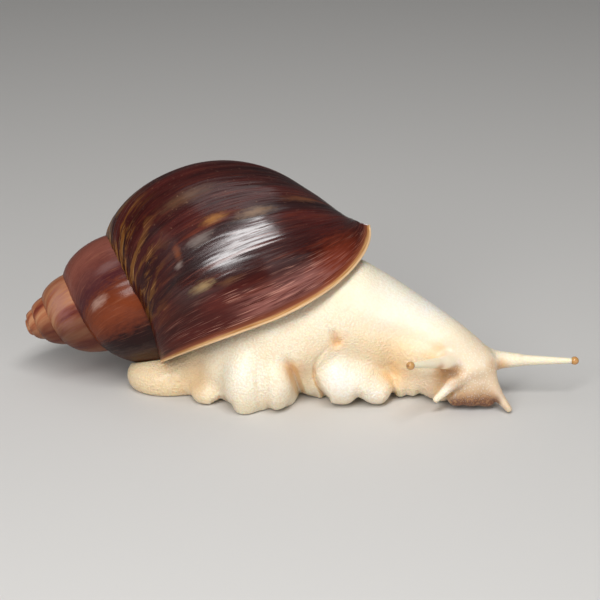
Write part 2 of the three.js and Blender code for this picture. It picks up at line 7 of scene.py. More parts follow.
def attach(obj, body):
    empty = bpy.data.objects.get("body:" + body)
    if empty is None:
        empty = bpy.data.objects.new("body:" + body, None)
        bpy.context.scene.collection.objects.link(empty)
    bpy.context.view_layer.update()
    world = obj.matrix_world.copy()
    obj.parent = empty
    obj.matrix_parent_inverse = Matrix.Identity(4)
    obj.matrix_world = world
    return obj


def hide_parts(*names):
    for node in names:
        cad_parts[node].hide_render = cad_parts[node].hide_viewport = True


# Giant African land snail, life size. All sizes below are in millimetres, turned into metres
# where a mesh, a lamp or the camera is made. +X is ahead of the snail, +Y its left, +Z up.

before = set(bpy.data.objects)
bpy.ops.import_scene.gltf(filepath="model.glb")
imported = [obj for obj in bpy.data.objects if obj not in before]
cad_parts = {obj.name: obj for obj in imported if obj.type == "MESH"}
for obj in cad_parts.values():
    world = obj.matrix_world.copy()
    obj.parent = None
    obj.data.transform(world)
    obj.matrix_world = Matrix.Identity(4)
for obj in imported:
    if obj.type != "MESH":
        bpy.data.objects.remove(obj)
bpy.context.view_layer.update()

MM = 0.001
TURN = 2 * math.pi
SEED = 7

# ---------------------------------------------------------------- sizes of the shell

APEX = np.array([-57.0, 7.0, 10.5])
AXIS_RISE = math.radians(18)
AXIS_TURN = math.radians(1.8)
LIP_ANGLE = math.radians(-12.2)
LIP_SWEEP = math.radians(42)
LIP_SWEEP_POWER = 6.4
# Each size of a whorl's section at the lip, how fast it shrinks per earlier turn, and its bend.
WIDEST_RADIUS = (25.5, 0.547, -0.021)
WIDEST_HEIGHT = (51.8, 0.706, -0.048)
SUTURE_RADIUS = (16.0, 0.571, -0.028)
SUTURE_HEIGHT = (30.0, 0.679, 0.009)
# Near the lip the suture runs lower: by how much, over how many turns, and how sharply.
SUTURE_DROP = (4.0, 0.17, 1.5)
BASE_RADIUS = (4.8, 0.547, 0.0)
BASE_HEIGHT = (74.6, 0.442, 0.0)
SHOULDER_SHARE = 0.4
SHOULDER_POWER = 1.2
BASE_POWER = 1.155
# The first whorls close in a blunt dome from this many turns back.
DOME_START = 4.5
DOME_END = 5.75
DOME_TOP = 1.1
LIP_WALL = 0.45
WALL = 0.95
WALL_GROWTH = 0.02
THROAT_DEPTH = 0.3
# The pillar's twisted end: height where it meets the axis, and the height of its root.
PILLAR_END = 60.0
PILLAR_ROOT = 42.0
# The bulb that the first whorl is wound on: height of its tip, its depth and its radius.
BULB_TIP = 0.86
BULB_DEPTH = 3.4
BULB_RADIUS = 2.35
# The lip's front corner is rounded: from this share of the outline, by this much turn.
CORNER_FROM = 0.88
CORNER_TURN = math.radians(13)
CORNER_FADE = 0.07

# ---------------------------------------------------------------- sizes of the flesh

# Sections across the body: x, middle y and z, half width, half height.
SECTIONS = [
    (-28.5, 0.6, 4.0, 0.6, 0.6), (-26, 0.5, 4.2, 3.8, 3.8), (-24, 0.1, 4.8, 5.2, 5.2),
    (-20, -1.2, 6.6, 7.2, 7.2), (-16, -2.4, 8.3, 8.8, 9.2), (-12, -3.1, 9.8, 10.0, 10.6),
    (-8, -3.1, 11.1, 10.9, 11.6), (-4, -3.0, 12.2, 11.4, 12.0), (0, -2.7, 13.3, 11.4, 12.0),
    (4, -2.1, 14.8, 11.1, 12.4), (8, -1.4, 15.8, 10.9, 12.3), (12, -1.1, 15.6, 10.5, 12.0),
    (16, -1.1, 14.4, 10.0, 11.1), (20, -1.6, 13.0, 9.4, 10.1), (24, -2.5, 11.7, 8.7, 8.9),
    (28, -3.7, 10.5, 7.8, 7.7), (32, -5.2, 9.3, 6.6, 6.4), (35, -6.4, 8.4, 5.4, 5.2),
    (37, -7.0, 8.0, 4.1, 3.9), (38.6, -7.2, 7.9, 2.2, 2.2), (39.3, -7.2, 7.9, 0.4, 0.4),
]
# Chain of balls (x, y, z, radius) along the foot, from the tail forward.
FOOT = [(-18, -1, 4, 6), (-8, -3.6, 5, 9.4), (3, -0.4, 6, 8.6), (14, 0.2, 6, 7.8),
        (22.5, 0, 5, 5.8)]
TAIL = ((-26.8, 0.6, 2.6), (8.6, 7.0, 4.9))
# Lobes of the foot's right edge: centre, radii, and how softly they join the body.
RIGHT_LOBES = [
    ((-18.6, -6.6, 2.2), (3.6, 4.2, 3.0), 1.6),
    ((-11, -11, 5.6), (4.4, 5.6, 7.4), 1.6),
    ((-5, -11.4, 6.1), (4.0, 5.0, 6.1), 1.2),
    ((1.8, -6.6, 6.0), (3.4, 4.4, 6.0), 1.4),
    ((7.4, -8.4, 6.0), (4.6, 5.2, 5.8), 1.6),
    ((11.6, -8.6, 4.6), (4.4, 4.4, 4.6), 2.4),
    ((15.8, -8.2, 3.4), (3.6, 4.0, 3.4), 1.8),
    ((21.0, -4.2, 3.8), (4.4, 4.0, 4.0), 2.2),
    ((25.0, -4.8, 4.2), (3.0, 3.4, 3.6), 2.0),
    ((28.6, -7.4, 3.2), (3.4, 3.2, 3.0), 2.0),
]
# Lobes of its left edge, broader and shallower: centre and radii.
LEFT_LOBES = [
    ((-19.4, 5.6, 3.4), (5.4, 4.2, 4.0)), ((-11.6, 7.6, 4.2), (5.2, 4.4, 4.8)),
    ((-4.6, 8.2, 3.8), (4.6, 4.3, 4.2)), ((3.6, 8.6, 4.4), (5.6, 4.3, 4.9)),
    ((11.8, 7.8, 3.9), (4.9, 4.2, 4.3)), ((19.2, 6.2, 4.1), (5.0, 4.0, 4.3)),
    ((25.6, 3.4, 3.8), (3.8, 3.4, 3.6)),
]
# Creases of the right side, on the plane of the front view: across, up, width, depth.
# Each is cut only where y lies between its far and near limits.
CREASES = {
    "pore": (-30, -3, [(6.0, 12.4, 0.5, 0.1), (7.0, 10.4, 0.7, 0.7), (7.5, 9.3, 0.7, 1.1),
                       (8.4, 10.1, 0.6, 0.1)]),
    "lobe_edge": (-30, -3, [(6.2, 8.7, 0.6, 0.05), (4.6, 7.2, 0.45, 0.25), (3.3, 5.6, 0.4, 0.45),
                            (2.8, 4.1, 0.35, 0.6), (2.9, 2.4, 0.35, 0.6), (3.6, 0.6, 0.4, 0.7),
                            (4.7, -0.9, 0.5, 1.0), (5.3, -2.2, 0.7, 1.6)]),
    "deep": (-30, -3, [(-3.6, 6.4, 1.0, 0.1), (-2.3, 4.9, 0.9, 0.8), (-1.2, 2.8, 0.8, 1.5),
                       (-0.5, 0.6, 0.8, 2.2), (0.1, -1.2, 1.0, 2.8), (0.5, -3.0, 1.4, 3.8)]),
    "set_back": (-30, -3, [(0.8, 5.2, 1.5, 0.2), (1.0, 2.6, 1.7, 0.7), (1.6, -0.2, 1.8, 1.2),
                           (2.2, -2.4, 1.9, 2.4)]),
    "twin": (-30, -3, [(-6.9, 3.4, 0.9, 0.05), (-6.7, 1.4, 0.8, 0.3), (-6.7, -2.2, 0.8, 0.35),
                       (-6.1, -4.4, 0.8, 0.5)]),
    "behind_lobe": (-30, -3, [(1.6, 5.9, 0.5, 0.05), (2.0, 4.2, 0.4, 0.2), (2.4, 1.8, 0.4, 0.1)]),
    "tail_root": (-30, -2, [(-20.0, 7.1, 2.0, 0.3), (-20.8, 5.1, 2.0, 0.7), (-21.0, 1.4, 1.6, 0.5),
                            (-20.8, -1.0, 1.2, 0.3)]),
    "arch": (-30, -3, [(-17.4, -3.0, 0.5, 0.6), (-16.0, -2.8, 0.8, 2.0), (-14.5, -3.8, 0.8, 2.4),
                       (-13.9, -5.5, 0.8, 2.4)]),
    "scallop": (-30, -3, [(11.2, 0.2, 0.7, 0.05), (11.6, -0.9, 0.8, 0.5), (11.8, -2.0, 1.0, 1.6),
                          (11.9, -3.4, 1.5, 3.0)]),
    "front_edge": (-30, -2, [(19.2, 2.2, 1.0, 0.1), (18.9, 0.2, 0.9, 0.4), (18.6, -1.6, 0.9, 1.0),
                             (18.6, -3.0, 1.2, 1.8)]),
    "hollow": (-13, -2, [(17.6, 11.5, 2.0, 0.2), (18.4, 8.1, 2.4, 0.9), (18.4, 4.8, 2.2, 1.1),
                         (18.2, 1.6, 1.6, 0.5)]),
    "under_neck": (-13, -2, [(8.3, 16.8, 1.6, 0.1), (11.5, 14.1, 2.0, 0.4), (16.6, 11.5, 2.0, 0.7),
                             (21.2, 10.7, 2.0, 0.7), (25.3, 9.1, 1.8, 0.6), (28.3, 7.4, 1.4, 0.5)]),
    "cheek": (-13.5, -2, [(27.4, 4.6, 1.0, 0.3), (29.4, 4.2, 1.2, 1.1), (31.4, 3.6, 1.2, 1.3),
                          (32.6, 3.2, 1.0, 0.5)]),
    "front_wave_1": (-30, -1, [(21.0, 1.0, 0.6, 0.05), (21.4, -0.4, 0.6, 0.2), (21.6, -1.8, 0.8, 0.6)]),
    "front_wave_2": (-30, -1, [(23.6, 1.2, 0.6, 0.05), (24.0, 0.0, 0.6, 0.2), (24.2, -1.4, 0.8, 0.6)]),
}

# Head: it looks along FACING, and LEFTWARD is its own left.
HEAD = np.array([34.0, -7.0, 0.0])
FACING = np.array([0.45, -0.89, 0.0])
LEFTWARD = np.array([0.89, 0.45, 0.0])
EYE_LEFT = (55.4, -5.0, 7.8)
EYE_RIGHT = (21.3, -22.0, 13.5)
STALK_LEFT = (38.6, -5.2, 8.1)
STALK_RIGHT = (31.6, -9.2, 9.4)
FEELER_LEFT = [(37.3, -9.2, 6.6, 1.8), (38.7, -11.4, 3.9, 1.3), (41.5, -13.8, 0.95, 0.64)]
FEELER_RIGHT = [(33.6, -10.6, 7.8, 1.9), (30.6, -12.7, 6.2, 1.25), (27.0, -14.2, 3.2, 0.64)]
# The muzzle: ribs (x, y, z, radius) that fan from the crown down to the mouth's edge.
MUZZLE = [
    [(33.4, -8.4, 7.6, 2.5), (31.8, -10.6, 4.8, 1.3), (31.0, -11.7, 2.3, 0.8)],
    [(34.6, -8.2, 7.6, 2.7), (34.4, -10.9, 5.0, 1.4), (34.2, -11.8, 2.4, 0.8)],
    [(35.6, -8.0, 7.4, 2.6), (36.8, -10.2, 5.0, 1.3), (37.4, -11.4, 2.0, 0.8)],
]
MOUTH_EDGE = [(31.0, -11.7, 2.3, 0.8), (34.2, -11.8, 2.4, 0.8), (37.4, -11.4, 2.0, 0.8)]
EYE_RADIUS = 0.85

SKIN_GRAIN = 0.31
SKIN_LOW = np.array([-38.0, -25.0, -1.2])
SKIN_HIGH = np.array([57.5, 17.0, 34.0])
# Room kept between the flesh and the shell.
SHELL_GAP = 0.12
MANTLE_INSET = 0.012

# ---------------------------------------------------------------- camera

VIEW_RISE = math.radians(20)
VIEW_DISTANCE = 421
VIEW_TARGET = 19
camera_data = bpy.data.cameras.new("camera")
camera_data.lens = 125
camera_data.sensor_width = 36
camera_data.clip_start = 0.01
camera_data.clip_end = 10
camera = bpy.data.objects.new("camera", camera_data)
bpy.context.collection.objects.link(camera)
camera.location = (
    0,
    -VIEW_DISTANCE * math.cos(VIEW_RISE) * MM,
    (VIEW_TARGET + VIEW_DISTANCE * math.sin(VIEW_RISE)) * MM,
)
camera.rotation_euler = (math.pi / 2 - VIEW_RISE, 0, 0)
bpy.context.scene.camera = camera

# ---------------------------------------------------------------- shell: shape

axis = np.array([
    math.cos(AXIS_RISE) * math.cos(AXIS_TURN),
    math.cos(AXIS_RISE) * math.sin(AXIS_TURN),
    math.sin(AXIS_RISE),
])
upward = np.array([0, 0, 1.0]) - axis * axis[2]
upward /= np.linalg.norm(upward)
rightward = np.cross(axis, upward)


def size_at(law, back):
    """A size of the section some turns back from the lip."""
    lip, fade, bend = law
    return lip * np.exp(-fade * back - bend * back * back)


def suture_height(back):
    drop, reach, power = SUTURE_DROP
    return size_at(SUTURE_HEIGHT, back) - drop * np.clip(1 - back / reach, 0, 1) ** power


def dome(back):
    """How far the first whorls have shrunk into their blunt dome, from 1 to 0."""
    share = np.clip((back - DOME_START) / (DOME_END - DOME_START), 0, 1)
    return np.sqrt(np.clip(1 - share * share, 0, 1))


def outline(back, share):
    """Height and radius of the whorl's section, from the suture (0) to the base (1)."""
    widest = size_at(WIDEST_HEIGHT, back)
    radius = size_at(WIDEST_RADIUS, back)
    suture = suture_height(back)
    suture_radius = size_at(SUTURE_RADIUS, back)
    base = np.maximum(size_at(BASE_HEIGHT, back), widest * 1.05)
    base_radius = size_at(BASE_RADIUS, back)
    upper = np.clip(share / SHOULDER_SHARE, 0, 1) * math.pi / 2
    lower = np.clip((share - SHOULDER_SHARE) / (1 - SHOULDER_SHARE), 0, 1) * math.pi / 2
    first = share < SHOULDER_SHARE
    height = np.where(
        first,
        widest - (widest - suture) * np.cos(upper),
        widest + (base - widest) * np.sin(lower),
    )
    reach = np.where(
        first,
        suture_radius + (radius - suture_radius) * np.sin(upper) ** SHOULDER_POWER,
        base_radius + (radius - base_radius) * np.abs(np.cos(lower)) ** BASE_POWER,
    )
    small = dome(back)
    return DOME_TOP + (height - DOME_TOP) * small, reach * small


def radius_at(back, height):
    """Radius of the whorl's outline at a height on the axis, and the share that it lies at."""
    widest = size_at(WIDEST_HEIGHT, back)
    suture = suture_height(back)
    base = np.maximum(size_at(BASE_HEIGHT, back), widest * 1.05)
    upper = np.arccos(np.clip((widest - height) / (widest - suture), 0, 1))
    lower = np.arcsin(np.clip((height - widest) / (base - widest), 0, 1))
    share = np.where(
        height < widest,
        upper / (math.pi / 2) * SHOULDER_SHARE,
        SHOULDER_SHARE + lower / (math.pi / 2) * (1 - SHOULDER_SHARE),
    )
    radius = size_at(WIDEST_RADIUS, back)
    suture_radius = size_at(SUTURE_RADIUS, back)
    base_radius = size_at(BASE_RADIUS, back)
    reach = np.where(
        height < widest,
        suture_radius + (radius - suture_radius) * np.sin(upper) ** SHOULDER_POWER,
        base_radius + (radius - base_radius) * np.cos(lower) ** BASE_POWER,
    )
    return reach, share


def whorl_angle(back, share):
    corner = np.clip((share - CORNER_FROM) / (1 - CORNER_FROM), 0, 1)
    rounding = CORNER_TURN * (1 - np.sqrt(1 - corner * corner)) * np.exp(-back / CORNER_FADE)
    return LIP_ANGLE + TURN * back - LIP_SWEEP * (1 - share) ** LIP_SWEEP_POWER + rounding


def about_axis(height, radius, angle):
    return (
        APEX
        + axis * height[..., None]
        + rightward * (radius * np.cos(angle))[..., None]
        + upward * (radius * np.sin(angle))[..., None]
    )


def shell_room(points, gap):
    """Roughly the distance from the shell's solid wall, which is hollow behind the lip."""
    offset = points - APEX
    height = offset @ axis
    across = offset @ rightward
    over = offset @ upward
    radius = np.hypot(across, over)
    turned = (np.arctan2(over, across) - LIP_ANGLE) / TURN
    nearest = np.full(len(points), 1e3)
    for whorl in range(-1, 6):
        back = turned + whorl
        share = np.full(len(points), 0.5)
        for _ in range(3):
            swept = back + LIP_SWEEP / TURN * (1 - share) ** LIP_SWEEP_POWER
            reach, share = radius_at(swept, height)
        swept = back + LIP_SWEEP / TURN * (1 - share) ** LIP_SWEEP_POWER
        higher, _ = radius_at(swept, height + 0.1)
        slope = (higher - reach) / 0.1
        wall = (radius - reach) / np.sqrt(1 + slope * slope)
        suture = suture_height(swept)
        base = np.maximum(size_at(BASE_HEIGHT, swept), size_at(WIDEST_HEIGHT, swept) * 1.05)
        wall = np.maximum(wall, np.maximum(suture - height, height - base))
        arc = swept * TURN * np.maximum(radius, 3)
        wall = np.maximum(wall, -arc)
        hollow = np.maximum(wall + WALL + gap, (swept - 0.07) * TURN * np.maximum(radius, 3))
        inner = np.where(swept < 0.5, np.maximum(wall, -hollow), wall)
        nearest = np.minimum(nearest, np.where(swept < -0.2, 1e3, inner))
    return nearest


def value_noise(x, step, seed):
    """Smooth seeded noise along a line, from -1 to 1, with a knot every step."""
    knots = np.random.default_rng(seed).uniform(-1, 1, 4096)
    at = x / step + 1000
    cell = np.floor(at).astype(int)
    part = at - cell
    part = part * part * (3 - 2 * part)
    return knots[cell % 4096] * (1 - part) + knots[(cell + 1) % 4096] * part


def soft_noise(x, y, step_x, step_y, seed):
    """Smooth seeded noise over a plane, from -1 to 1."""
    knots = np.random.default_rng(seed).uniform(-1, 1, (256, 256))
    u = x / step_x + 100
    v = y / step_y + 100
    i = np.floor(u).astype(int)
    j = np.floor(v).astype(int)
    a = u - i
    b = v - j
    a = a * a * (3 - 2 * a)
    b = b * b * (3 - 2 * b)
    i0, i1, j0, j1 = i % 256, (i + 1) % 256, j % 256, (j + 1) % 256
    near = knots[i0, j0] * (1 - a) + knots[i1, j0] * a
    far = knots[i0, j1] * (1 - a) + knots[i1, j1] * a
    return near * (1 - b) + far * b


def grid_normals(points):
    along = np.gradient(points, axis=0)
    across = np.gradient(points, axis=1)
    normal = np.cross(along, across)
    return normal / (np.linalg.norm(normal, axis=-1, keepdims=True) + 1e-12)


def shell_grid():
    """The outer surface: points, and what was grown (arc, across, turns) at each."""
    # Steps per turn, from one place back to the next: closest where the shell was grown last.
    spans = ((0, 0.5, 900), (0.5, 1.2, 400), (1.2, DOME_END - 0.004, 130))
    share = 1
    back = np.concatenate([
        np.arange(low, high, 1 / (steps * share)) for low, high, steps in spans])[:, None]
    rows = 60
    hidden = np.clip((back - 1.05) / 0.25, 0, 1)
    last = 1 - 0.36 * hidden
    share = last * (np.arange(rows + 1) / rows)[None] ** 1.15
    height, radius = outline(back, share)
    # The suture's edge lies on the whorl before it.
    before = back + 1 - LIP_SWEEP / TURN
    under, _ = radius_at(before, height)
    under = under * np.where(before > DOME_START, dome(before), 1)
    tuck = np.exp(-share / 0.035)
    meets = np.where(back < DOME_START - 1, under - 0.25 - radius, 0)[:, :1]
    radius = radius + np.minimum(meets, 1.5) * tuck
    angle = whorl_angle(back, share)
    points = about_axis(height, radius, angle)
    turn_length = TURN * size_at(WIDEST_RADIUS, back) * dome(back)
    arc = np.concatenate([[0], np.cumsum(
        0.5 * (turn_length[1:, 0] + turn_length[:-1, 0]) * np.diff(back[:, 0]))])[:, None]
    steps = np.linalg.norm(np.diff(points, axis=1), axis=-1)
    across = np.concatenate([np.zeros((len(back), 1)), np.cumsum(steps, axis=1)], axis=1)
    arc = np.broadcast_to(arc, across.shape)
    turns = np.broadcast_to(back, across.shape)
    return points, arc, across, turns, share


def growth_relief(arc, across, turns):
    """Height of the growth lines, wrinkles and low swellings, in millimetres."""
    scale = np.clip(size_at(WIDEST_RADIUS, turns) / WIDEST_RADIUS[0], 0.15, 1) ** 0.5
    bent = arc + 0.8 * soft_noise(arc, across, 14, 9, SEED)
    patchy = 0.6 + 0.4 * soft_noise(arc, across, 3.5, 12, SEED + 1)
    fine = value_noise(bent, 0.8, SEED + 2) * patchy
    thread = value_noise(bent + 0.4 * soft_noise(arc, across, 5, 6, SEED + 7), 0.42, SEED + 8)
    thread = thread * (0.5 + 0.5 * soft_noise(arc, across, 4.5, 9, SEED + 9))
    middle = soft_noise(bent, across, 1.9, 18, SEED + 3)
    broad = soft_noise(bent, across, 7.5, 30, SEED + 4)
    swell = soft_noise(arc, across, 19, 24, SEED + 5)
    relief = 0.042 * fine + 0.02 * thread + 0.05 * middle + 0.1 * broad + 0.16 * swell
    # Short puckers run down from the suture.
    pucker = np.exp(-across / 1.6) * value_noise(bent, 1.1, SEED + 6)
    relief = relief * scale + 0.07 * pucker * scale
    return relief * np.clip(1 - (turns - 3.4) / 0.8, 0.25, 1)


def make_mesh(name, points, faces, attributes=None):
    mesh = bpy.data.meshes.new(name)
    points = np.asarray(points, np.float32) * MM
    faces = [np.asarray(part, np.int32) for part in faces if len(part)]
    loops = np.concatenate([part.ravel() for part in faces])
    counts = np.concatenate([np.full(len(part), part.shape[1], np.int32) for part in faces])
    starts = np.concatenate([[0], np.cumsum(counts)[:-1]]).astype(np.int32)
    mesh.vertices.add(len(points))
    mesh.vertices.foreach_set("co", points.ravel())
    mesh.loops.add(len(loops))
    mesh.loops.foreach_set("vertex_index", loops)
    mesh.polygons.add(len(counts))
    mesh.polygons.foreach_set("loop_start", starts)
    mesh.update(calc_edges=True)
    mesh.polygons.foreach_set("use_smooth", np.ones(len(counts), bool))
    for key, values in (attributes or {}).items():
        values = np.asarray(values, np.float32)
        kind = "FLOAT_VECTOR" if values.ndim == 2 else "FLOAT"
        field = "vector" if values.ndim == 2 else "value"
        layer = mesh.attributes.new(key, kind, "POINT")
        layer.data.foreach_set(field, values.ravel())
    mesh.validate()
    piece = bpy.data.objects.new(name, mesh)
    bpy.context.collection.objects.link(piece)
    return piece


def pillar(arc, arc_turns):
    """The pillar's end, wound between the last whorl's inner edge and the axis, as one closed body."""
    turns, columns = 1.06, 20
    back = np.linspace(0.0, turns, 90)[:, None]
    height, radius = outline(back, np.ones_like(back))
    share = np.linspace(0, 1, columns + 1)[None, :-1]
    drop = 0.5 - 0.5 * np.cos(math.pi * share)
    face = about_axis(
        height - 0.15 + (PILLAR_END - height) * drop, (radius + 0.12) * (1 - share),
        whorl_angle(back, 1.0))
    hubs = APEX + axis * np.array([[PILLAR_END], [PILLAR_ROOT]])
    ids = np.arange(face.shape[0] * columns).reshape(-1, columns)
    tip, root = ids.size, ids.size + 1
    quads = np.stack([ids[:-1, :-1], ids[:-1, 1:], ids[1:, 1:], ids[1:, :-1]], -1).reshape(-1, 4)
    ends = [
        np.stack([ids[:-1, -1], np.full(len(ids) - 1, tip), ids[1:, -1]], -1),
        np.stack([ids[:-1, 0], ids[1:, 0], np.full(len(ids) - 1, root)], -1),
    ]
    first = np.concatenate([[root, tip], ids[0, ::-1]])[None]
    last = np.concatenate([[tip, root], ids[-1]])[None]
    lie = np.stack(np.broadcast_arrays(
        np.interp(back, arc_turns, arc), 62 + 6 * share, 0.3 * back), -1).reshape(-1, 3)
    # It is glazed pale only where it faces the mouth.
    bare = 0.85 * np.clip(1.9 * np.cos(TURN * (back - 1.0)) - 0.9, 0, 1) * np.ones_like(share)
    return (
        np.concatenate([face.reshape(-1, 3), hubs]),
        [quads, *ends, first, last],
        np.concatenate([lie, lie[-1:], lie[-1:]]),
        np.concatenate([bare.ravel(), [0.4, 0.85]]),
    )


def bulb(arc):
    """The bulb at the apex, as one closed body of revolution."""
    rings, sides = 14, 32
    slope = np.linspace(0, math.pi, rings + 1)[1:-1, None]
    turn = np.arange(sides)[None] * TURN / sides
    height = BULB_TIP + BULB_DEPTH / 2 * (1 - np.cos(slope)) + 0 * turn
    face = about_axis(height, BULB_RADIUS * np.sin(slope) ** 0.6 + 0 * turn, turn)
    tips = APEX + axis * np.array([[BULB_TIP], [BULB_TIP + BULB_DEPTH]])
    ids = np.arange(face.shape[0] * sides).reshape(-1, sides)
    beside = np.roll(ids, -1, axis=1)
    quads = np.stack([ids[:-1], beside[:-1], beside[1:], ids[1:]], -1).reshape(-1, 4)
    caps = [
        np.stack([np.full(sides, ids.size), beside[0], ids[0]], -1),
        np.stack([np.full(sides, ids.size + 1), ids[-1], beside[-1]], -1),
    ]
    count = ids.size + 2
    lie = np.stack([np.full(count, arc), np.linspace(3, 6, count), np.full(count, DOME_END)], -1)
    return np.concatenate([face.reshape(-1, 3), tips]), [quads, *caps], lie, np.zeros(count)


def make_shell():
    points, arc, across, turns, share = shell_grid()
    normal = grid_normals(points)
    outward = points - APEX
    outward = outward - (outward @ axis)[..., None] * axis
    if np.mean(np.sum(normal * outward, axis=-1)) < 0:
        normal = -normal
    wall = LIP_WALL + (WALL - LIP_WALL) * (1 - np.exp(-turns / WALL_GROWTH))
    # The section's normal lies in the plane of the section, near enough.
    deep = int(np.searchsorted(turns[:, 0], THROAT_DEPTH))
    inner = points[:deep + 1] - normal[:deep + 1] * wall[:deep + 1, :, None]
    relief = growth_relief(arc, across, turns)
    outer = points + normal * relief[..., None]
    rows, columns = turns.shape
    # The lip's rounded edge, between the outer and the inner surface.
    ahead = -np.gradient(points, axis=0)[0]
    ahead /= np.linalg.norm(ahead, axis=-1, keepdims=True)
    middle = (outer[0] + inner[0]) / 2
    half = np.linalg.norm(outer[0] - inner[0], axis=-1, keepdims=True) / 2
    rim_rows = []
    for angle in (30, 65, 90, 115, 150):
        turn = math.radians(angle)
        rim_rows.append(
            middle + (outer[0] - middle) * math.cos(turn) + ahead * half * 0.9 * math.sin(turn))
    rim = np.stack(rim_rows)
    blocks = [outer.reshape(-1, 3), inner.reshape(-1, 3), rim.reshape(-1, 3)]
    cores = [pillar(arc[:, 0], turns[:, 0]), bulb(arc[-1, 0])]
    outer_id = np.arange(rows * columns).reshape(rows, columns)
    inner_id = rows * columns + np.arange((deep + 1) * columns).reshape(deep + 1, columns)
    rim_id = inner_id[-1, -1] + 1 + np.arange(len(rim_rows) * columns).reshape(-1, columns)

    def patch(ids):
        return np.stack([ids[:-1, :-1], ids[1:, :-1], ids[1:, 1:], ids[:-1, 1:]], -1).reshape(-1, 4)

    lip = np.concatenate([outer_id[:1], rim_id, inner_id[:1]])
    quads = [patch(outer_id), patch(inner_id)[:, ::-1], patch(lip)[:, ::-1]]
    # Sides of the mouth's wall, along the suture and along the pillar.
    for column, flip in ((0, True), (columns - 1, False)):
        strip = np.stack([outer_id[:deep + 1, column], inner_id[:, column]])
        side = patch(strip)
        quads.append(side if flip else side[:, ::-1])
        fan = np.concatenate([[outer_id[0, column]], rim_id[:, column], [inner_id[0, column]]])
        quads_fan = fan[None] if flip else fan[None, ::-1]
        quads.append(quads_fan)
    # Behind the mouth's wall the turns are closed by a hidden strip, and each end by one face.
    chord = np.stack([outer_id[deep:, 0], outer_id[deep:, -1]])
    quads.append(patch(chord))
    back_face = np.concatenate([inner_id[-1], [outer_id[deep, -1], outer_id[deep, 0]]])
    quads.append(back_face[None])
    quads.append(outer_id[-1][None, ::-1])
    grown = np.stack([arc, across, turns], -1)
    growth = [part.reshape(-1, 3) for part in (
        grown, grown[:deep + 1], np.broadcast_to(grown[0], rim.shape))]
    inside = [
        np.zeros(rows * columns),
        np.ones((deep + 1) * columns),
        np.repeat(np.linspace(0.2, 0.8, len(rim_rows)), columns),
    ]
    for core_points, core_faces, core_growth, core_inside in cores:
        first = sum(len(block) for block in blocks)
        quads += [part + first for part in core_faces]
        blocks.append(core_points)
        growth.append(core_growth)
        inside.append(core_inside)
    return make_mesh("shell_skin", np.concatenate(blocks), quads, {
        "growth": np.concatenate(growth), "inside": np.concatenate(inside)})


# ---------------------------------------------------------------- flesh: shape

def blend(a, b, width):
    """Smooth least of two distances."""
    share = np.clip(0.5 + 0.5 * (b - a) / width, 0, 1)
    return b + (a - b) * share - width * share * (1 - share)


def carve(a, b, width):
    """Smooth greatest of two distances."""
    return -blend(-a, -b, width)


def ellipsoid(points, at, radii, turn=0.0):
    offset = points - np.array(at, np.float32)
    if turn:
        u = offset[:, 0] * math.cos(turn) + offset[:, 1] * math.sin(turn)
        v = offset[:, 1] * math.cos(turn) - offset[:, 0] * math.sin(turn)
        offset = np.stack([u, v, offset[:, 2]], -1)
    radii = np.array(radii, np.float32)
    scaled = offset / radii
    near = np.sqrt((scaled * scaled).sum(-1))
    scaled = scaled / radii
    slope = np.sqrt((scaled * scaled).sum(-1))
    return near * (near - 1) / (slope + 1e-9)


def rod(points, start, end):
    """Distance to a tapered rod between two balls (x, y, z, radius)."""
    first = np.array(start[:3], np.float32)
    along = np.array(end[:3], np.float32) - first
    offset = points - first
    share = np.clip(offset @ along / float(along @ along), 0, 1)
    offset = offset - share[:, None] * along
    return np.sqrt((offset * offset).sum(-1)) - (start[3] + (end[3] - start[3]) * share)


def chain(points, balls, width):
    distance = rod(points, balls[0], balls[1])
    for start, end in zip(balls[1:-1], balls[2:]):
        distance = blend(distance, rod(points, start, end), width)
    return distance


def between(a, b, share, radius):
    a = np.array(a[:3], float)
    b = np.array(b[:3], float)
    return (*(a + (b - a) * share), radius)


def smooth_through(x, knots, values):
    """A smooth curve through values at knots, without overshoot between them."""
    steps = np.diff(knots)
    rises = np.diff(values) / steps
    slopes = np.zeros(len(knots))
    same = rises[1:] * rises[:-1] > 0
    mean = 2 * rises[1:] * rises[:-1] / np.where(same, rises[1:] + rises[:-1], 1)
    slopes[1:-1] = np.where(same, mean, 0)
    slopes[0], slopes[-1] = rises[0], rises[-1]
    i = np.clip(np.searchsorted(knots, x) - 1, 0, len(steps) - 1)
    t = np.clip((x - knots[i]) / steps[i], 0, 1)
    h = steps[i]
    return (
        values[i] * (2 * t ** 3 - 3 * t ** 2 + 1) + slopes[i] * h * (t ** 3 - 2 * t ** 2 + t)
        + values[i + 1] * (3 * t ** 2 - 2 * t ** 3) + slopes[i + 1] * h * (t ** 3 - t ** 2)
    )


SECTION_TABLE = np.array(SECTIONS, float)
SECTION_X = np.linspace(SECTION_TABLE[0, 0], SECTION_TABLE[-1, 0], 1200)
SECTION_FINE = np.stack([
    smooth_through(SECTION_X, SECTION_TABLE[:, 0], SECTION_TABLE[:, n]) for n in range(1, 5)])
SECTION_SLOPE = np.gradient(SECTION_FINE, SECTION_X, axis=1)


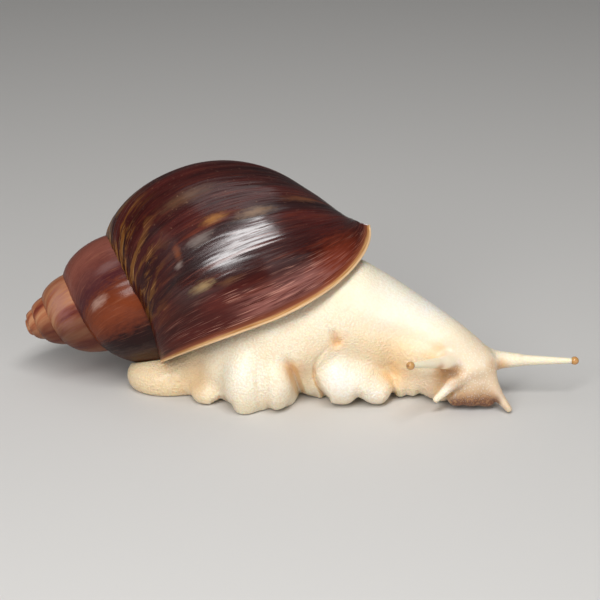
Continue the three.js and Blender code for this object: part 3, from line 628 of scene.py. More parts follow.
def sweep(points):
    """The body's long swelling, from the tail to the head."""
    x = np.clip(points[:, 0], SECTION_X[0], SECTION_X[-1])
    y, z, wide, high = (np.interp(x, SECTION_X, row) for row in SECTION_FINE)
    dy, dz, dwide, dhigh = (np.interp(x, SECTION_X, row) for row in SECTION_SLOPE)
    a = points[:, 1] - y
    b = points[:, 2] - z
    near = np.sqrt((a / wide) ** 2 + (b / high) ** 2) + 1e-6
    slope = np.sqrt((a / wide ** 2) ** 2 + (b / high ** 2) ** 2)
    distance = near * (near - 1) / (slope + 1e-6)
    side = a / wide / near
    top = b / high / near
    lean = side * dy + top * dz + side * side * dwide + top * top * dhigh
    distance = distance / np.sqrt(1 + np.clip(lean, -3, 3) ** 2)
    beyond = points[:, 0] - x
    return np.where(beyond == 0, distance, np.hypot(np.maximum(distance, 0), beyond))


VIEW_UP = np.array([0, math.sin(VIEW_RISE), math.cos(VIEW_RISE)])
VIEW_AWAY = np.array([0, math.cos(VIEW_RISE), -math.sin(VIEW_RISE)])


def front_view(points):
    """Where points lie on the plane of the front view, across and up from the origin."""
    offset = points - np.array([0, 0, VIEW_TARGET])
    scale = VIEW_DISTANCE / (VIEW_DISTANCE + offset @ VIEW_AWAY)
    return points[:, 0] * scale, offset @ VIEW_UP * scale + VIEW_TARGET * VIEW_UP[2]


def crease_depth(points, across, up, crease):
    """How deep a crease cuts at each point."""
    near, far, line = crease
    depth = np.zeros(len(points))
    reach = 3 * max(spot[2] for spot in line)
    line = np.array(line)
    low = line[:, :2].min(0) - reach
    high = line[:, :2].max(0) + reach
    close = ((across > low[0]) & (across < high[0]) & (up > low[1]) & (up < high[1])
             & (points[:, 1] < far + 1) & (points[:, 1] > near - 1))
    if not close.any():
        return depth
    u, w, y = across[close], up[close], points[close, 1]
    best = np.zeros(len(u))
    for start, end in zip(line[:-1], line[1:]):
        step = end[:2] - start[:2]
        share = np.clip(((u - start[0]) * step[0] + (w - start[1]) * step[1]) / (step @ step), 0, 1)
        du = u - start[0] - share * step[0]
        dw = w - start[1] - share * step[1]
        width = start[2] + (end[2] - start[2]) * share
        deep = start[3] + (end[3] - start[3]) * share
        best = np.maximum(best, deep * np.exp(-(du * du + dw * dw) / (width * width)))
    limit = np.clip((far - y) / 2 + 0.5, 0, 1) * np.clip((y - near) / 2 + 0.5, 0, 1)
    depth[close] = best * limit
    return depth


def bulk(points):
    """The body without its creases."""
    distance = sweep(points)
    distance = blend(distance, chain(points, FOOT, 3), 2.5)
    distance = blend(distance, ellipsoid(points, *TAIL), 1.6)
    muzzle = chain(points, MOUTH_EDGE, 0.8)
    for rib in MUZZLE:
        muzzle = blend(muzzle, chain(points, rib, 1.2), 2.6)
    distance = blend(distance, muzzle, 2.0)
    for feeler in (FEELER_LEFT, FEELER_RIGHT):
        distance = blend(distance, chain(points, feeler, 0.8), 1.2)
    for centre, radii, softness in RIGHT_LOBES:
        distance = blend(distance, ellipsoid(points, centre, radii), softness)
    for centre, radii in LEFT_LOBES:
        distance = blend(distance, ellipsoid(points, centre, radii), 2.2)
    return distance


def stalks(points):
    distance = np.full(len(points), 99.0)
    for root, eye in ((STALK_LEFT, EYE_LEFT), (STALK_RIGHT, EYE_RIGHT)):
        swell = rod(points, between(root, eye, -0.15, 2.5), between(root, eye, 0.3, 1.15))
        stalk = rod(points, between(root, eye, 0.1, 1.4), between(root, eye, 1, 0.5))
        distance = np.minimum(distance, blend(swell, stalk, 0.8))
    return distance


def flesh(points):
    """Signed distance, roughly, to the whole flesh: negative inside."""
    points = np.asarray(points, np.float32)
    distance = bulk(points)
    near = np.flatnonzero((points[:, 1] < 0) & (np.abs(distance) < 5))
    right = points[near].astype(float)
    across, up = front_view(right)
    for crease in CREASES.values():
        distance[near] += crease_depth(right, across, up, crease)
    distance = blend(distance, stalks(points), 1.6)
    near = (points[:, 0] < 22) & (points[:, 2] > 1)
    room = np.full(len(points), 50.0, np.float32)
    room[near] = shell_room(points[near].astype(float), SHELL_GAP)
    distance = carve(distance, SHELL_GAP - room, 0.25)
    return carve(distance, -points[:, 2], 0.6)


def sparse_field(low, high, grain):
    """The field on a fine grid, worked out only near the surface."""
    block = 4
    count = np.ceil((high - low) / grain / block).astype(int)
    size = count * block + 1
    coarse = np.stack(np.meshgrid(*[
        low[n] + (np.arange(count[n]) + 0.5) * block * grain for n in range(3)],
        indexing="ij"), -1).reshape(-1, 3)
    middle = flesh(coarse).reshape(count)
    field = np.repeat(np.repeat(np.repeat(middle, block, 0), block, 1), block, 2)
    field = np.pad(field, ((0, 1), (0, 1), (0, 1)), mode="edge").astype(np.float32)
    reach = block * grain * math.sqrt(3) / 2 * 1.7
    live = np.abs(middle) < reach
    mask = np.zeros(size, bool)
    for cell in np.argwhere(live):
        a = cell * block
        mask[a[0]:a[0] + block + 1, a[1]:a[1] + block + 1, a[2]:a[2] + block + 1] = True
    where = np.argwhere(mask)
    values = np.empty(len(where), np.float32)
    batch = 400000
    for start in range(0, len(where), batch):
        part = where[start:start + batch]
        values[start:start + batch] = flesh(low + part * grain)
    field[mask] = values
    return field


def surface_net(field, low, grain):
    """One vertex in each cell that the surface crosses, one quad on each crossed edge."""
    inside = field < 0
    nx, ny, nz = field.shape
    corners = [(i, j, k) for i in (0, 1) for j in (0, 1) for k in (0, 1)]
    total = np.zeros((nx - 1, ny - 1, nz - 1), np.int8)
    for i, j, k in corners:
        total += inside[i:nx - 1 + i, j:ny - 1 + j, k:nz - 1 + k]
    cells = np.argwhere((total > 0) & (total < 8))
    index = -np.ones(total.shape, np.int64)
    index[tuple(cells.T)] = np.arange(len(cells))
    place = np.zeros((len(cells), 3))
    crossings = np.zeros(len(cells))
    for corner in corners:
        for n in range(3):
            if corner[n]:
                continue
            other = list(corner)
            other[n] = 1
            a = field[tuple((cells + corner).T)]
            b = field[tuple((cells + other).T)]
            crossed = (a < 0) != (b < 0)
            spot = np.tile(np.array(corner, float), (len(cells), 1))
            spot[:, n] += np.where(crossed, a / (a - b + 1e-30), 0)
            place[crossed] += spot[crossed]
            crossings += crossed
    vertices = (cells + place / crossings[:, None]) * grain + low
    quads = []
    for n in range(3):
        u, v = (n + 1) % 3, (n + 2) % 3
        here = [slice(None)] * 3
        there = [slice(None)] * 3
        here[n] = slice(0, -1)
        there[n] = slice(1, None)
        a = inside[tuple(here)]
        edges = np.argwhere(a != inside[tuple(there)])
        held = ((edges[:, u] > 0) & (edges[:, v] > 0)
                & (edges[:, u] < field.shape[u] - 1) & (edges[:, v] < field.shape[v] - 1))
        edges = edges[held]
        solid = a[tuple(edges.T)]
        ring = []
        for du, dv in ((1, 1), (0, 1), (0, 0), (1, 0)):
            cell = edges.copy()
            cell[:, u] -= du
            cell[:, v] -= dv
            ring.append(index[tuple(cell.T)])
        quad = np.stack(ring, 1)
        quad[~solid] = quad[~solid][:, ::-1]
        quads.append(quad)
    return vertices, np.concatenate(quads)


def field_slope(points, step=0.06):
    slope = np.empty_like(points)
    for n in range(3):
        shift = np.zeros(3)
        shift[n] = step
        slope[:, n] = (flesh(points + shift) - flesh(points - shift)) / (2 * step)
    return slope


def cellular(points, size, seed):
    """Distance to the nearest of a seeded set of scattered centres, over the cell size."""
    at = points / size
    cell = np.floor(at).astype(np.int64)
    nearest = np.full(len(points), 9.0)
    table = np.random.default_rng(seed).uniform(0, 1, (4096, 3))
    for i in (-1, 0, 1):
        for j in (-1, 0, 1):
            for k in (-1, 0, 1):
                other = cell + (i, j, k)
                key = (other[:, 0] * 73856093 ^ other[:, 1] * 19349663 ^ other[:, 2] * 83492791)
                centre = other + table[key % 4096]
                nearest = np.minimum(nearest, ((at - centre) ** 2).sum(-1))
    return np.sqrt(nearest)


def make_skin():
    field = sparse_field(SKIN_LOW, SKIN_HIGH, SKIN_GRAIN)
    vertices, quads = surface_net(field, SKIN_LOW, SKIN_GRAIN)
    for _ in range(2):
        slope = field_slope(vertices)
        length2 = (slope * slope).sum(-1)
        move = flesh(vertices) / np.maximum(length2, 0.25)
        vertices = vertices - slope * np.clip(move, -0.5, 0.5)[:, None] * SKIN_GRAIN / 0.31 * 0.9
    slope = field_slope(vertices)
    normal = slope / (np.linalg.norm(slope, axis=-1, keepdims=True) + 1e-9)
    # How hollow each place is, closely and broadly, and how thin: the material paints shade from the
    # first two.
    near = 1.2 - flesh(vertices + normal * 1.2)
    wide = 3.5 - flesh(vertices + normal * 3.5)
    thin = flesh(vertices - normal * 1.6) + 1.6
    hollow = np.stack([np.clip(near, -1, 2), np.clip(wide, -1, 5), np.clip(thin, -1, 3)], -1)
    flat = vertices[:, 2] < 0.12
    bumps = 0.5 - cellular(vertices, 0.85, SEED + 20)
    rough = skin_roughness(vertices)
    lift = 0.05 * bumps * rough
    lift[flat] = 0
    vertices = vertices + normal * lift[:, None]
    vertices[:, 2] = np.maximum(vertices[:, 2], 0)
    return make_mesh("skin", vertices, [quads], {"hollow": hollow, "rough": rough})


def skin_roughness(points):
    """How pebbled the skin is: most on the flanks, tail and face, least on the neck's ridge."""
    x, y, z = points.T
    ridge = np.exp(-((z - (27 - 0.62 * np.clip(x - 6, 0, 40))) / 5.0) ** 2) * (x > 2)
    lobes = np.exp(-(((x - 7.2) / 4.5) ** 2 + ((y + 12) / 5) ** 2 + ((z - 6) / 5) ** 2))
    left = np.array(EYE_LEFT) - np.array(STALK_LEFT)
    right = np.array(EYE_RIGHT) - np.array(STALK_RIGHT)
    away_left = np.clip((points - STALK_LEFT) @ left / (left @ left), 0, 1)
    away_right = np.clip((points - STALK_RIGHT) @ right / (right @ right), 0, 1)
    near_right = np.linalg.norm(
        points - STALK_RIGHT - away_right[:, None] * right, axis=-1) < 3
    stalks = np.where(x > 40, away_left, 0) + np.where(near_right, away_right, 0)
    return np.clip(1 - 0.75 * ridge - 0.5 * lobes, 0.1, 1) * (1 - 0.6 * np.clip(stalks * 2, 0, 1))


# ---------------------------------------------------------------- materials

class Nodes:
    """Short calls for the nodes of one material."""

    def __init__(self, name):
        self.material = bpy.data.materials.new(name)
        self.material.use_nodes = True
        self.tree = self.material.node_tree
        self.shader = self.tree.nodes["Principled BSDF"]

    def put(self, socket, value):
        if isinstance(value, bpy.types.NodeSocket):
            self.tree.links.new(value, socket)
        else:
            socket.default_value = value

    def make(self, kind, **settings):
        node = self.tree.nodes.new(kind)
        for key, value in settings.items():
            setattr(node, key, value)
        return node

    def attribute(self, name):
        return self.make("ShaderNodeAttribute", attribute_name=name)

    def place(self):
        return self.make("ShaderNodeTexCoord").outputs["Object"]

    def split(self, vector):
        node = self.make("ShaderNodeSeparateXYZ")
        self.put(node.inputs[0], vector)
        return node.outputs

    def stretch(self, vector, scale, shift=(0, 0, 0)):
        node = self.make("ShaderNodeMapping")
        self.put(node.inputs["Vector"], vector)
        self.put(node.inputs["Scale"], scale)
        self.put(node.inputs["Location"], shift)
        return node.outputs[0]

    def noise(self, vector, scale=1.0, detail=2.0, roughness=0.5, distortion=0.0):
        node = self.make("ShaderNodeTexNoise")
        self.put(node.inputs["Vector"], vector)
        self.put(node.inputs["Scale"], scale)
        self.put(node.inputs["Detail"], detail)
        self.put(node.inputs["Roughness"], roughness)
        self.put(node.inputs["Distortion"], distortion)
        return node.outputs["Fac"]

    def cells(self, vector, scale=1.0, feature="F1"):
        node = self.make("ShaderNodeTexVoronoi", feature=feature)
        self.put(node.inputs["Vector"], vector)
        self.put(node.inputs["Scale"], scale)
        return node.outputs["Distance"]

    def math(self, kind, a, b=0.5, c=0.5, clamp=False):
        node = self.make("ShaderNodeMath", operation=kind, use_clamp=clamp)
        self.put(node.inputs[0], a)
        self.put(node.inputs[1], b)
        self.put(node.inputs[2], c)
        return node.outputs[0]

    def span(self, value, low, high, to_low=0.0, to_high=1.0, smooth=True):
        """Maps low..high to to_low..to_high, held at the ends."""
        node = self.make("ShaderNodeMapRange", interpolation_type="SMOOTHSTEP" if smooth else "LINEAR")
        self.put(node.inputs["Value"], value)
        self.put(node.inputs["From Min"], low)
        self.put(node.inputs["From Max"], high)
        self.put(node.inputs["To Min"], to_low)
        self.put(node.inputs["To Max"], to_high)
        return node.outputs[0]

    def mix(self, share, a, b, kind="MIX"):
        node = self.make("ShaderNodeMix", data_type="RGBA", blend_type=kind)
        self.put(node.inputs[0], share)
        self.put(node.inputs[6], a)
        self.put(node.inputs[7], b)
        return node.outputs[2]

    def ramp(self, value, stops):
        node = self.make("ShaderNodeValToRGB")
        self.put(node.inputs[0], value)
        ramp = node.color_ramp
        while len(ramp.elements) < len(stops):
            ramp.elements.new(0.5)
        for element, (position, colour) in zip(ramp.elements, stops):
            element.position = position
            element.color = colour
        return node.outputs[0]

    def near(self, vector, at, radius):
        """1 at a point, falling to 0 at a radius."""
        node = self.make("ShaderNodeVectorMath", operation="DISTANCE")
        self.put(node.inputs[0], vector)
        self.put(node.inputs[1], at)
        return self.span(node.outputs["Value"], 0, radius, 1, 0)

    def bump(self, height, distance, normal=None):
        node = self.make("ShaderNodeBump")
        self.put(node.inputs["Strength"], 1.0)
        self.put(node.inputs["Distance"], distance * MM)
        self.put(node.inputs["Height"], height)
        if normal is not None:
            self.put(node.inputs["Normal"], normal)
        return node.outputs[0]


def colour(code):
    """A colour written as six hex digits of sRGB."""
    parts = [int(code[i:i + 2], 16) / 255 for i in (0, 2, 4)]
    linear = [p / 12.92 if p <= 0.04045 else ((p + 0.055) / 1.055) ** 2.4 for p in parts]
    return (*linear, 1.0)


# Marks on the shell, one of them a painted highlight, in millimetres of growth: arc from the
# lip, distance from the suture, their half sizes, colour and strength.
SHELL_MARKS = [
    (11.8, 22.0, 1.3, 3.6, "a98c62", 0.85),
    (10.6, 27.5, 0.9, 3.4, "6b452a", 0.6),
    (20.6, 18.8, 2.2, 1.1, "8c4a26", 0.45),
    (18.0, 18.4, 0.8, 1.4, "a8958c", 0.4),
    (23.2, 28.0, 1.3, 3.4, "a9743c", 0.65),
    (20.5, 24.0, 1.6, 4.0, "a99a92", 0.35),
    (21.8, 36.0, 1.5, 5.0, "94765c", 0.6),
    (24.4, 47.0, 1.4, 6.0, "75482a", 0.55),
    (5.5, 52.0, 7.5, 10.0, "84361f", 0.55),
    (31.0, 24.0, 2.4, 8.0, "75583e", 0.4),
    (10.0, 18.0, 5.5, 7.0, "1e0604", 0.55),
    (123.0, 15.0, 2.6, 5.0, "240706", 0.5),
    # A painted highlight: the pale arc on the penultimate whorl's swelling.
    (134.0, 9.0, 1.4, 3.2, "c0a294", 0.45),
    (139.5, 14.0, 1.6, 4.0, "8b6a66", 0.4),
    (207.0, 6.0, 7.0, 4.0, "8c6068", 0.4),
]
# Colours that the penultimate whorl took on in turn: arc from the lip, colour.
FLAMES = [
    (110, "3c1d10"), (117, "44230f"), (119.5, "3a2622"), (121.8, "1e0505"), (124.3, "260707"),
    (126.2, "582413"), (130, "78361a"), (134.5, "682e18"), (137, "451c20"), (140, "5c2f2a"),
    (146, "80493d"), (154, "6a3226"), (164, "552419"), (176, "6f3826"), (188, "8a4c35"),
]
FLAMES_FROM = 108
FLAMES_TO = 190


def shell_material():
    n = Nodes("shell")
    growth = n.attribute("growth").outputs["Vector"]
    arc, across, turns = n.split(growth)[0:3]
    inside = n.attribute("inside").outputs["Fac"]
    broad = n.noise(n.stretch(growth, (0.13, 0.03, 0)), 1, 3, 0.55, 0.4)
    streak = n.noise(n.stretch(growth, (0.6, 0.05, 0), (3, 5, 0)), 1, 4, 0.6, 0.3)
    fine = n.noise(n.stretch(growth, (2.6, 0.11, 0), (9, 1, 0)), 1, 3, 0.65, 0.2)
    hair = n.noise(n.stretch(growth, (5.2, 0.12, 0), (1, 7, 0)), 1, 2, 0.6)
    ragged = n.noise(n.stretch(growth, (1.5, 0.5, 0), (5, 2, 0)), 1, 3, 0.65)
    base = n.ramp(broad, [
        (0.3, colour("1b0506")), (0.43, colour("2a0909")), (0.56, colour("3e120f")),
        (0.7, colour("4f1a16")),
    ])
    base = n.mix(n.span(streak, 0.52, 0.74, 0, 0.6), base, colour("652b1a"))
    base = n.mix(n.span(streak, 0.48, 0.3, 0, 0.55), base, colour("1c0606"))
    base = n.mix(n.span(fine, 0.56, 0.78, 0, 0.45), base, colour("824430"))
    base = n.mix(n.span(fine, 0.45, 0.22, 0, 0.55), base, colour("1c0608"))
    # Redder where the shell was grown last, with paler thread lines near the lip: partly its own growth
    # lines, partly painted sheen.
    fresh = n.math("MULTIPLY", n.span(arc, 16, 2), n.span(broad, 0.25, 0.6, 0.5, 1))
    base = n.mix(n.math("MULTIPLY", fresh, 0.45), base, colour("601f14"))
    threads_and_sheen = n.math("MULTIPLY", n.span(arc, 13, 5), n.span(hair, 0.53, 0.66))
    sparse = n.noise(n.stretch(growth, (0.9, 0.1, 0), (7, 3, 0)), 1, 2, 0.5)
    threads_and_sheen = n.math("MULTIPLY", threads_and_sheen, n.span(sparse, 0.4, 0.56))
    threads_and_sheen = n.math("MULTIPLY", threads_and_sheen, n.span(across, 12, 30, 0.35, 1))
    base = n.mix(n.math("MULTIPLY", threads_and_sheen, 0.75), base, colour("c78f7c"))
    # A painted sheen: a paler, rosier band along the lip.
    painted_sheen = n.math("MULTIPLY", n.span(arc, 9, 4.5), n.span(arc, 1.2, 3))
    painted_sheen = n.math("MULTIPLY", painted_sheen, n.math("MULTIPLY", n.span(across, 24, 34), n.span(across, 56, 47)))
    painted_sheen = n.math("MULTIPLY", painted_sheen, n.span(fine, 0.3, 0.6))
    base = n.mix(n.math("MULTIPLY", painted_sheen, 0.5), base, colour("ad7268"))
    # Worn, dusty specks on the older back.
    worn = n.noise(n.stretch(growth, (1.1, 0.9, 0), (2, 9, 0)), 1, 4, 0.7)
    dusty = n.math("MULTIPLY", n.span(worn, 0.6, 0.74), n.span(arc, 12, 30))
    base = n.mix(n.math("MULTIPLY", dusty, 0.45), base, colour("a07a62"))
    # Ochre streaks run down from the suture.
    wander = n.noise(n.stretch(growth, (0.36, 0.11, 0), (4, 8, 0)), 1, 4, 0.62, 0.5)
    ochre = n.math("MULTIPLY", n.span(across, 20, 4), n.span(wander, 0.47, 0.58))
    ochre = n.math("MULTIPLY", ochre, n.span(arc, 6, 24))
    gully = n.math("MULTIPLY", n.span(across, 14, 2), n.span(wander, 0.46, 0.38))
    base = n.mix(n.math("MULTIPLY", gully, 0.5), base, colour("220c06"))
    base = n.mix(n.math("MULTIPLY", ochre, 0.68), base, colour("865722"))
    pale = n.math("MULTIPLY", ochre, n.span(fine, 0.55, 0.7))
    base = n.mix(n.math("MULTIPLY", pale, 0.6), base, colour("c39a63"))
    # The penultimate whorl is flamed; the ones before it are paler and redder.
    shifted = n.math("ADD", arc, n.math("MULTIPLY", n.math("SUBTRACT", ragged, 0.5), 6))
    order = n.span(shifted, FLAMES_FROM, FLAMES_TO, smooth=False)
    older = n.ramp(order, [
        ((at - FLAMES_FROM) / (FLAMES_TO - FLAMES_FROM), colour(code)) for at, code in FLAMES])
    older = n.mix(n.span(fine, 0.55, 0.8, 0, 0.3), older, colour("b77c5e"))
    older = n.mix(n.span(fine, 0.45, 0.25, 0, 0.3), older, colour("2a0b0a"))
    base = n.mix(n.span(turns, 0.72, 0.86), base, older)
    flames = n.noise(n.stretch(growth, (0.42, 0.07, 0), (0, 2, 0)), 1, 3, 0.5, 0.3)
    oldest = n.ramp(flames, [
        (0.3, colour("6d3024")), (0.45, colour("9a5a3c")), (0.6, colour("b4805c")),
        (0.75, colour("a56a4c")),
    ])
    # Painted shade on the lower, forward side of each early whorl.
    under = n.math("COSINE", n.math("MULTIPLY", n.math("SUBTRACT", turns, 0.97), TURN))
    low = n.math("MULTIPLY", n.span(under, 0.45, 1.0), n.span(turns, 4.5, 3.5))
    oldest = n.mix(n.math("MULTIPLY", low, 0.75), oldest, colour("4a2018"))
    behind = n.math("MULTIPLY", n.span(turns, 2.1, 2.4), n.span(turns, 3.1, 2.7))
    oldest = n.mix(n.math("MULTIPLY", behind, 0.55), oldest, colour("713a28"))
    base = n.mix(n.span(turns, 1.7, 1.95), base, oldest)
    brushed = n.math("MULTIPLY_ADD", ragged, 0.5, n.math("MULTIPLY", fine, 0.5))
    for at_arc, at_across, long, tall, code, strength in SHELL_MARKS:
        near = n.make("ShaderNodeVectorMath", operation="LENGTH")
        n.put(near.inputs[0], n.stretch(
            growth, (1 / long, 1 / tall, 0), (-at_arc / long, -at_across / tall, 0)))
        edge = n.math("ADD", near.outputs["Value"], n.math("MULTIPLY", brushed, 2.4))
        base = n.mix(n.span(edge, 2.3, 1.2, 0, strength), base, colour(code))
    # The pale lip is widest at its front corner.
    edge = n.math("MULTIPLY", arc, n.span(across, 48, 62, 1, 0.36, smooth=False))
    base = n.mix(n.span(edge, 2.5, 0.9, 0, 0.6), base, colour("9c5636"))
    pale_lip = n.mix(n.span(fine, 0.3, 0.7), colour("ad763f"), colour("d9a873"))
    base = n.mix(n.span(edge, 1.2, 0.6), base, pale_lip)
    base = n.mix(n.span(edge, 0.5, 0.15, 0, 0.7), base, colour("f0d0a6"))
    base = n.mix(n.span(inside, 0.5, 0.9), base, colour("e9dfe0"))
    # A dark line where each whorl meets the one before.
    seam = n.math("MULTIPLY", n.span(across, 0.6, 0.1), n.span(turns, 4.4, 2.6, 0.2, 0.8))
    base = n.mix(seam, base, colour("140504"))
    n.put(n.shader.inputs["Base Color"], base)
    n.put(n.shader.inputs["Roughness"], n.span(hair, 0.3, 0.7, 0.3, 0.5))
    n.put(n.shader.inputs["Specular IOR Level"], 0.03)
    # The side that was rubbed least keeps its polish.
    polish = n.math("MULTIPLY", n.span(arc, 8, 14), n.span(arc, 40, 26))
    polish = n.math("MULTIPLY", polish, n.span(across, 12, 22))
    n.put(n.shader.inputs["Coat Weight"], n.span(
        n.math("MULTIPLY", polish, n.span(fine, 0.38, 0.52, 0.25, 1)), 0, 1, 0.22, 1.0,
        smooth=False))
    n.put(n.shader.inputs["Coat Roughness"], 0.2)
    n.put(n.shader.inputs["Coat IOR"], 1.78)
    lines = n.bump(fine, 0.1)
    lines = n.bump(hair, 0.035, lines)
    n.put(n.shader.inputs["Normal"], lines)
    return n.material


# Painted shade on the skin, warm as light through the flesh: in the hollows and creases, under the
# shell's lip, under and beside the stalks and on the cheek, and toned over the head's brightest
# spots; at the pore it is partly the skin's own colour. Centre and reach in millimetres, colour,
# strength.
SKIN_SHADE = [
    ((19.0, -9.5, 11.0), 9.0, "f9d29a", 0.68),
    ((19.2, -8.0, 5.6), 7.0, "f7d29e", 0.55),
    ((12.5, -11.5, 13.5), 7.0, "efd2a0", 0.45),
    ((3.0, -14.0, 11.5), 6.0, "f0d6a8", 0.4),
    ((7.1, -11.5, 14.8), 3.4, "f0b678", 0.6),
    ((-1.9, -12.4, 8.8), 4.6, "e8a862", 0.75),
    ((-20.6, -8.0, 5.0), 6.0, "e7bd84", 0.55),
    ((33.6, -8.6, 11.0), 6.8, "e3cfb4", 0.9),
    ((38.4, -7.2, 6.4), 3.0, "e6b98c", 0.6),
    ((29.1, -10.9, 12.6), 3.6, "e6d0b4", 0.8),
    ((40.3, -7.2, 7.4), 2.6, "d89c5e", 0.75),
    ((38.2, -10.0, 8.6), 2.4, "d9a676", 0.6),
    ((27.2, -15.4, 10.2), 2.0, "c08242", 0.8),
    ((30.2, -12.7, 8.4), 2.2, "8a4214", 0.85),
    ((29.5, -11.0, 7.5), 4.4, "8a4214", 1.0),
    ((27.0, -9.2, 3.6), 5.0, "c9a07a", 0.55),
    ((1.2, -10.8, 6.0), 4.4, "e6c592", 0.5),
]
# Painted highlights: paler spots where light falls brightest on the lobes, the neck's ridge and the
# feelers. Centre and reach in millimetres, colour, strength.
SKIN_HIGHLIGHTS = [
    ((8.0, -13.6, 7.0), 7.5, "fbfaf3", 0.8),
    ((14.9, -12.3, 3.6), 5.0, "fbf8ec", 0.7),
    ((-4.9, -16.2, 7.0), 5.5, "fdf6e4", 0.5),
    ((-11.6, -16.0, 8.4), 7.5, "fdf8ea", 0.7),
    ((20.0, -5.0, 20.0), 14.0, "fdf9ec", 0.7),
    ((26.0, -3.5, 17.0), 7.0, "fffcf5", 0.7),
    ((29.6, -13.6, 5.4), 3.4, "f8efe2", 0.9),
    ((39.8, -12.4, 3.2), 3.6, "f8efe4", 0.8),
]


def skin_material():
    n = Nodes("skin")
    place = n.place()
    hollow = n.attribute("hollow").outputs["Vector"]
    near, wide, thin = n.split(hollow)[0:3]
    rough = n.attribute("rough").outputs["Fac"]
    x, y, z = n.split(place)[0:3]
    patch = n.noise(place, 180, 3, 0.5)
    base = n.mix(patch, colour("fbf0da"), colour("f6e4c4"))
    # The tail and the flank are deeper in tone than the neck.
    base = n.mix(n.span(x, -0.015, -0.024, 0, 0.7), base, colour("ecd2a6"))
    # Painted highlights first, then painted shade.
    for spots in (SKIN_HIGHLIGHTS, SKIN_SHADE):
        for at, reach, code, strength in spots:
            share = n.near(place, tuple(v * MM for v in at), reach * MM)
            base = n.mix(n.math("MULTIPLY", share, strength), base, colour(code))
    # Painted shade in hollows: warm where the surface is broadly hollow, darker in tight creases.
    base = n.mix(n.span(wide, 0.6, 2.8, 0, 0.5), base, colour("f2c88c"))
    base = n.mix(n.span(near, 0.35, 1.5, 0, 0.32), base, colour("dca97a"))
    # The muzzle in a greyer tan; lower down, painted shade in brown where the face rolls under,
    # partly the skin's own warm tint, and a dark painted shadow at the mouth's edge by the ground.
    muzzle = n.math("MULTIPLY", n.span(x, 0.0285, 0.031), n.span(y, -0.0075, -0.0105))
    muzzle = n.math("MULTIPLY", muzzle, n.span(z, 0.0098, 0.0072))
    base = n.mix(n.math("MULTIPLY", muzzle, 0.75), base, colour("d0b494"))
    # Painted shade, partly the skin's own warm tint.
    jaw = n.math("MULTIPLY", n.span(x, 0.0295, 0.0325), n.span(x, 0.0405, 0.0375))
    jaw = n.math("MULTIPLY", jaw, n.span(z, 0.0062, 0.0028))
    base = n.mix(n.math("MULTIPLY", jaw, 0.75), base, colour("a87440"))
    # Painted shadow at the mouth's edge.
    mouth = n.math("MULTIPLY", n.span(z, 0.0042, 0.0022), n.span(x, 0.0285, 0.0305))
    mouth = n.math("MULTIPLY", mouth, n.span(x, 0.0405, 0.039))
    base = n.mix(n.math("MULTIPLY", mouth, 0.95), base, colour("6b3a1c"))
    pebble = n.cells(place, 2100)
    grain = n.cells(place, 4200)
    # Fine white granules on the head and the muzzle.
    head = n.near(place, (0.034, -0.0095, 0.0075), 0.009)
    dots = n.math("MULTIPLY", n.span(pebble, 0.42, 0.2), head)
    base = n.mix(n.math("MULTIPLY", dots, 0.55), base, colour("fdf9f0"))
    base = n.mix(n.math("MULTIPLY", n.span(pebble, 0.4, 0.8), n.math("MULTIPLY", rough, 0.28)),
                 base, colour("e0b683"))
    n.put(n.shader.inputs["Base Color"], base)
    n.put(n.shader.inputs["Subsurface Weight"], 0.35)
    n.put(n.shader.inputs["Subsurface Radius"], (1.0, 0.55, 0.28))
    n.put(n.shader.inputs["Subsurface Scale"], 0.0022)
    n.put(n.shader.inputs["Roughness"], n.span(patch, 0.3, 0.7, 0.4, 0.52))
    n.put(n.shader.inputs["Specular IOR Level"], 0.45)
    n.put(n.shader.inputs["Coat Weight"], 0.3)
    n.put(n.shader.inputs["Coat Roughness"], 0.2)
    height = n.math("MULTIPLY", n.span(pebble, 0.75, 0.05), rough)
    relief = n.bump(height, 0.12)
    relief = n.bump(n.math("MULTIPLY", n.span(grain, 0.7, 0.05), rough), 0.018, relief)
    n.put(n.shader.inputs["Normal"], relief)
    return n.material


def eye_material(name, spot):
    n = Nodes(name)
    place = n.place()
    mottle = n.noise(place, 1500, 3, 0.6)
    base = n.mix(mottle, colour("b47a3a"), colour("d2a566"))
    base = n.mix(n.near(place, tuple(v * MM for v in spot), 0.5 * MM), base, colour("8a5a2c"))
    n.put(n.shader.inputs["Base Color"], base)
    n.put(n.shader.inputs["Roughness"], 0.2)
    n.put(n.shader.inputs["Coat Weight"], 0.8)
    n.put(n.shader.inputs["Coat Roughness"], 0.06)
    n.put(n.shader.inputs["Subsurface Weight"], 0.2)
    n.put(n.shader.inputs["Subsurface Scale"], 0.0006)
    n.put(n.shader.inputs["Normal"], n.bump(mottle, 0.01))
    return n.material


# ---------------------------------------------------------------- pieces

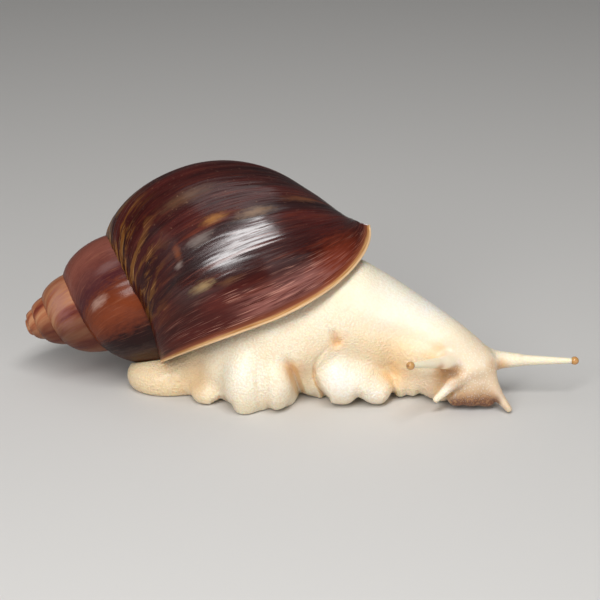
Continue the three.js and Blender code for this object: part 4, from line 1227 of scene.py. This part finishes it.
def make_eye(name, at, root):
    """A bulb at the stalk's end, a touch fuller on the stalk's side; its material puts the spot at the
    tip.
    """
    at = np.array(at)
    along = at - np.array(root)
    along /= np.linalg.norm(along)
    rings, sides = 24, 36
    side = np.cross(along, (0, 0, 1))
    side /= np.linalg.norm(side)
    over = np.cross(side, along)
    points = [at - along * EYE_RADIUS]
    for i in range(1, rings):
        angle = math.pi * i / rings
        radius = EYE_RADIUS * math.sin(angle) * (1 + 0.03 * math.cos(angle))
        for j in range(sides):
            turn = TURN * j / sides
            points.append(
                at - along * EYE_RADIUS * math.cos(angle)
                + (side * math.cos(turn) + over * math.sin(turn)) * radius)
    points.append(at + along * EYE_RADIUS)
    last = len(points) - 1
    quads, ends = [], []
    for i in range(rings - 2):
        for j in range(sides):
            a = 1 + i * sides + j
            b = 1 + i * sides + (j + 1) % sides
            quads.append((a, a + sides, b + sides, b))
    for j in range(sides):
        k = (j + 1) % sides
        ends.append((0, 1 + j, 1 + k))
        ends.append((last, 1 + (rings - 2) * sides + k, 1 + (rings - 2) * sides + j))
    return make_mesh(name, np.array(points), [np.array(quads), np.array(ends)])


shell = make_shell()
shell.data.materials.append(shell_material())
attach(shell, "root")
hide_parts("shell")

skin = make_skin()
skin.data.materials.append(skin_material())
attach(skin, "root")
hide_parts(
    "mantle_collar", "trunk", "neck", "head", "foot_front", "foot_middle", "foot_rear",
    "tail", "upper_tentacle_right", "upper_tentacle_left", "lower_tentacle_right",
    "lower_tentacle_left")

for name, node, at, root in (
        ("eye_ball_right", "eye_right", EYE_RIGHT, STALK_RIGHT),
        ("eye_ball_left", "eye_left", EYE_LEFT, STALK_LEFT)):
    eye = make_eye(name, at, root)
    tip = np.array(at) + (np.array(at) - root) / np.linalg.norm(np.array(at) - root) * EYE_RADIUS
    eye.data.materials.append(eye_material(name, tip))
    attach(eye, "root")
    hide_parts(node)

# ---------------------------------------------------------------- floor and light

FLOOR_SIZE = 3000


def make_floor():
    half = FLOOR_SIZE / 2
    corners = np.array([(-half, -half, 0), (half, -half, 0), (half, half, 0), (-half, half, 0)])
    floor = make_mesh("floor", corners, [np.array([[0, 1, 2, 3]])])
    n = Nodes("floor")
    n.put(n.shader.inputs["Base Color"], colour("cfcdca"))
    n.put(n.shader.inputs["Roughness"], 0.8)
    floor.data.materials.append(n.material)
    return floor


make_floor()


def soft_lamp(name, at, aim, long_side, size, power):
    """A soft rectangular lamp: places and sizes in millimetres, the long side's lie, watts."""
    data = bpy.data.lights.new(name, "AREA")
    data.shape = "RECTANGLE"
    data.size = size[0] * MM
    data.size_y = size[1] * MM
    data.energy = power
    lamp = bpy.data.objects.new(name, data)
    bpy.context.collection.objects.link(lamp)
    back = (Vector(at) - Vector(aim)).normalized()
    side = Vector(long_side)
    side = (side - back * side.dot(back)).normalized()
    lamp.rotation_euler = Matrix((side, back.cross(side), back)).transposed().to_euler()
    lamp.location = Vector(at) * MM
    return lamp


soft_lamp("key", (-60, -350, 390), (-8, -10, 32), (0.65, 0.7, 0.28), (640, 150), 3.0)
soft_lamp("top", (-60, 120, 620), (0, 0, 15), (1, 0, 0), (620, 520), 0.6)
soft_lamp("front", (300, -430, 150), (5, -5, 20), (0.8, 0.6, 0), (460, 340), 0.5)
soft_lamp("left", (-480, -120, 150), (-40, 0, 20), (0, 1, 0), (460, 360), 0.18)

world = bpy.data.worlds.new("studio")
world.use_nodes = True
world.node_tree.nodes["Background"].inputs[0].default_value = (1, 1, 1, 1)
world.node_tree.nodes["Background"].inputs[1].default_value = 0.1
bpy.context.scene.world = world
bpy.context.scene.view_settings.view_transform = "Standard"
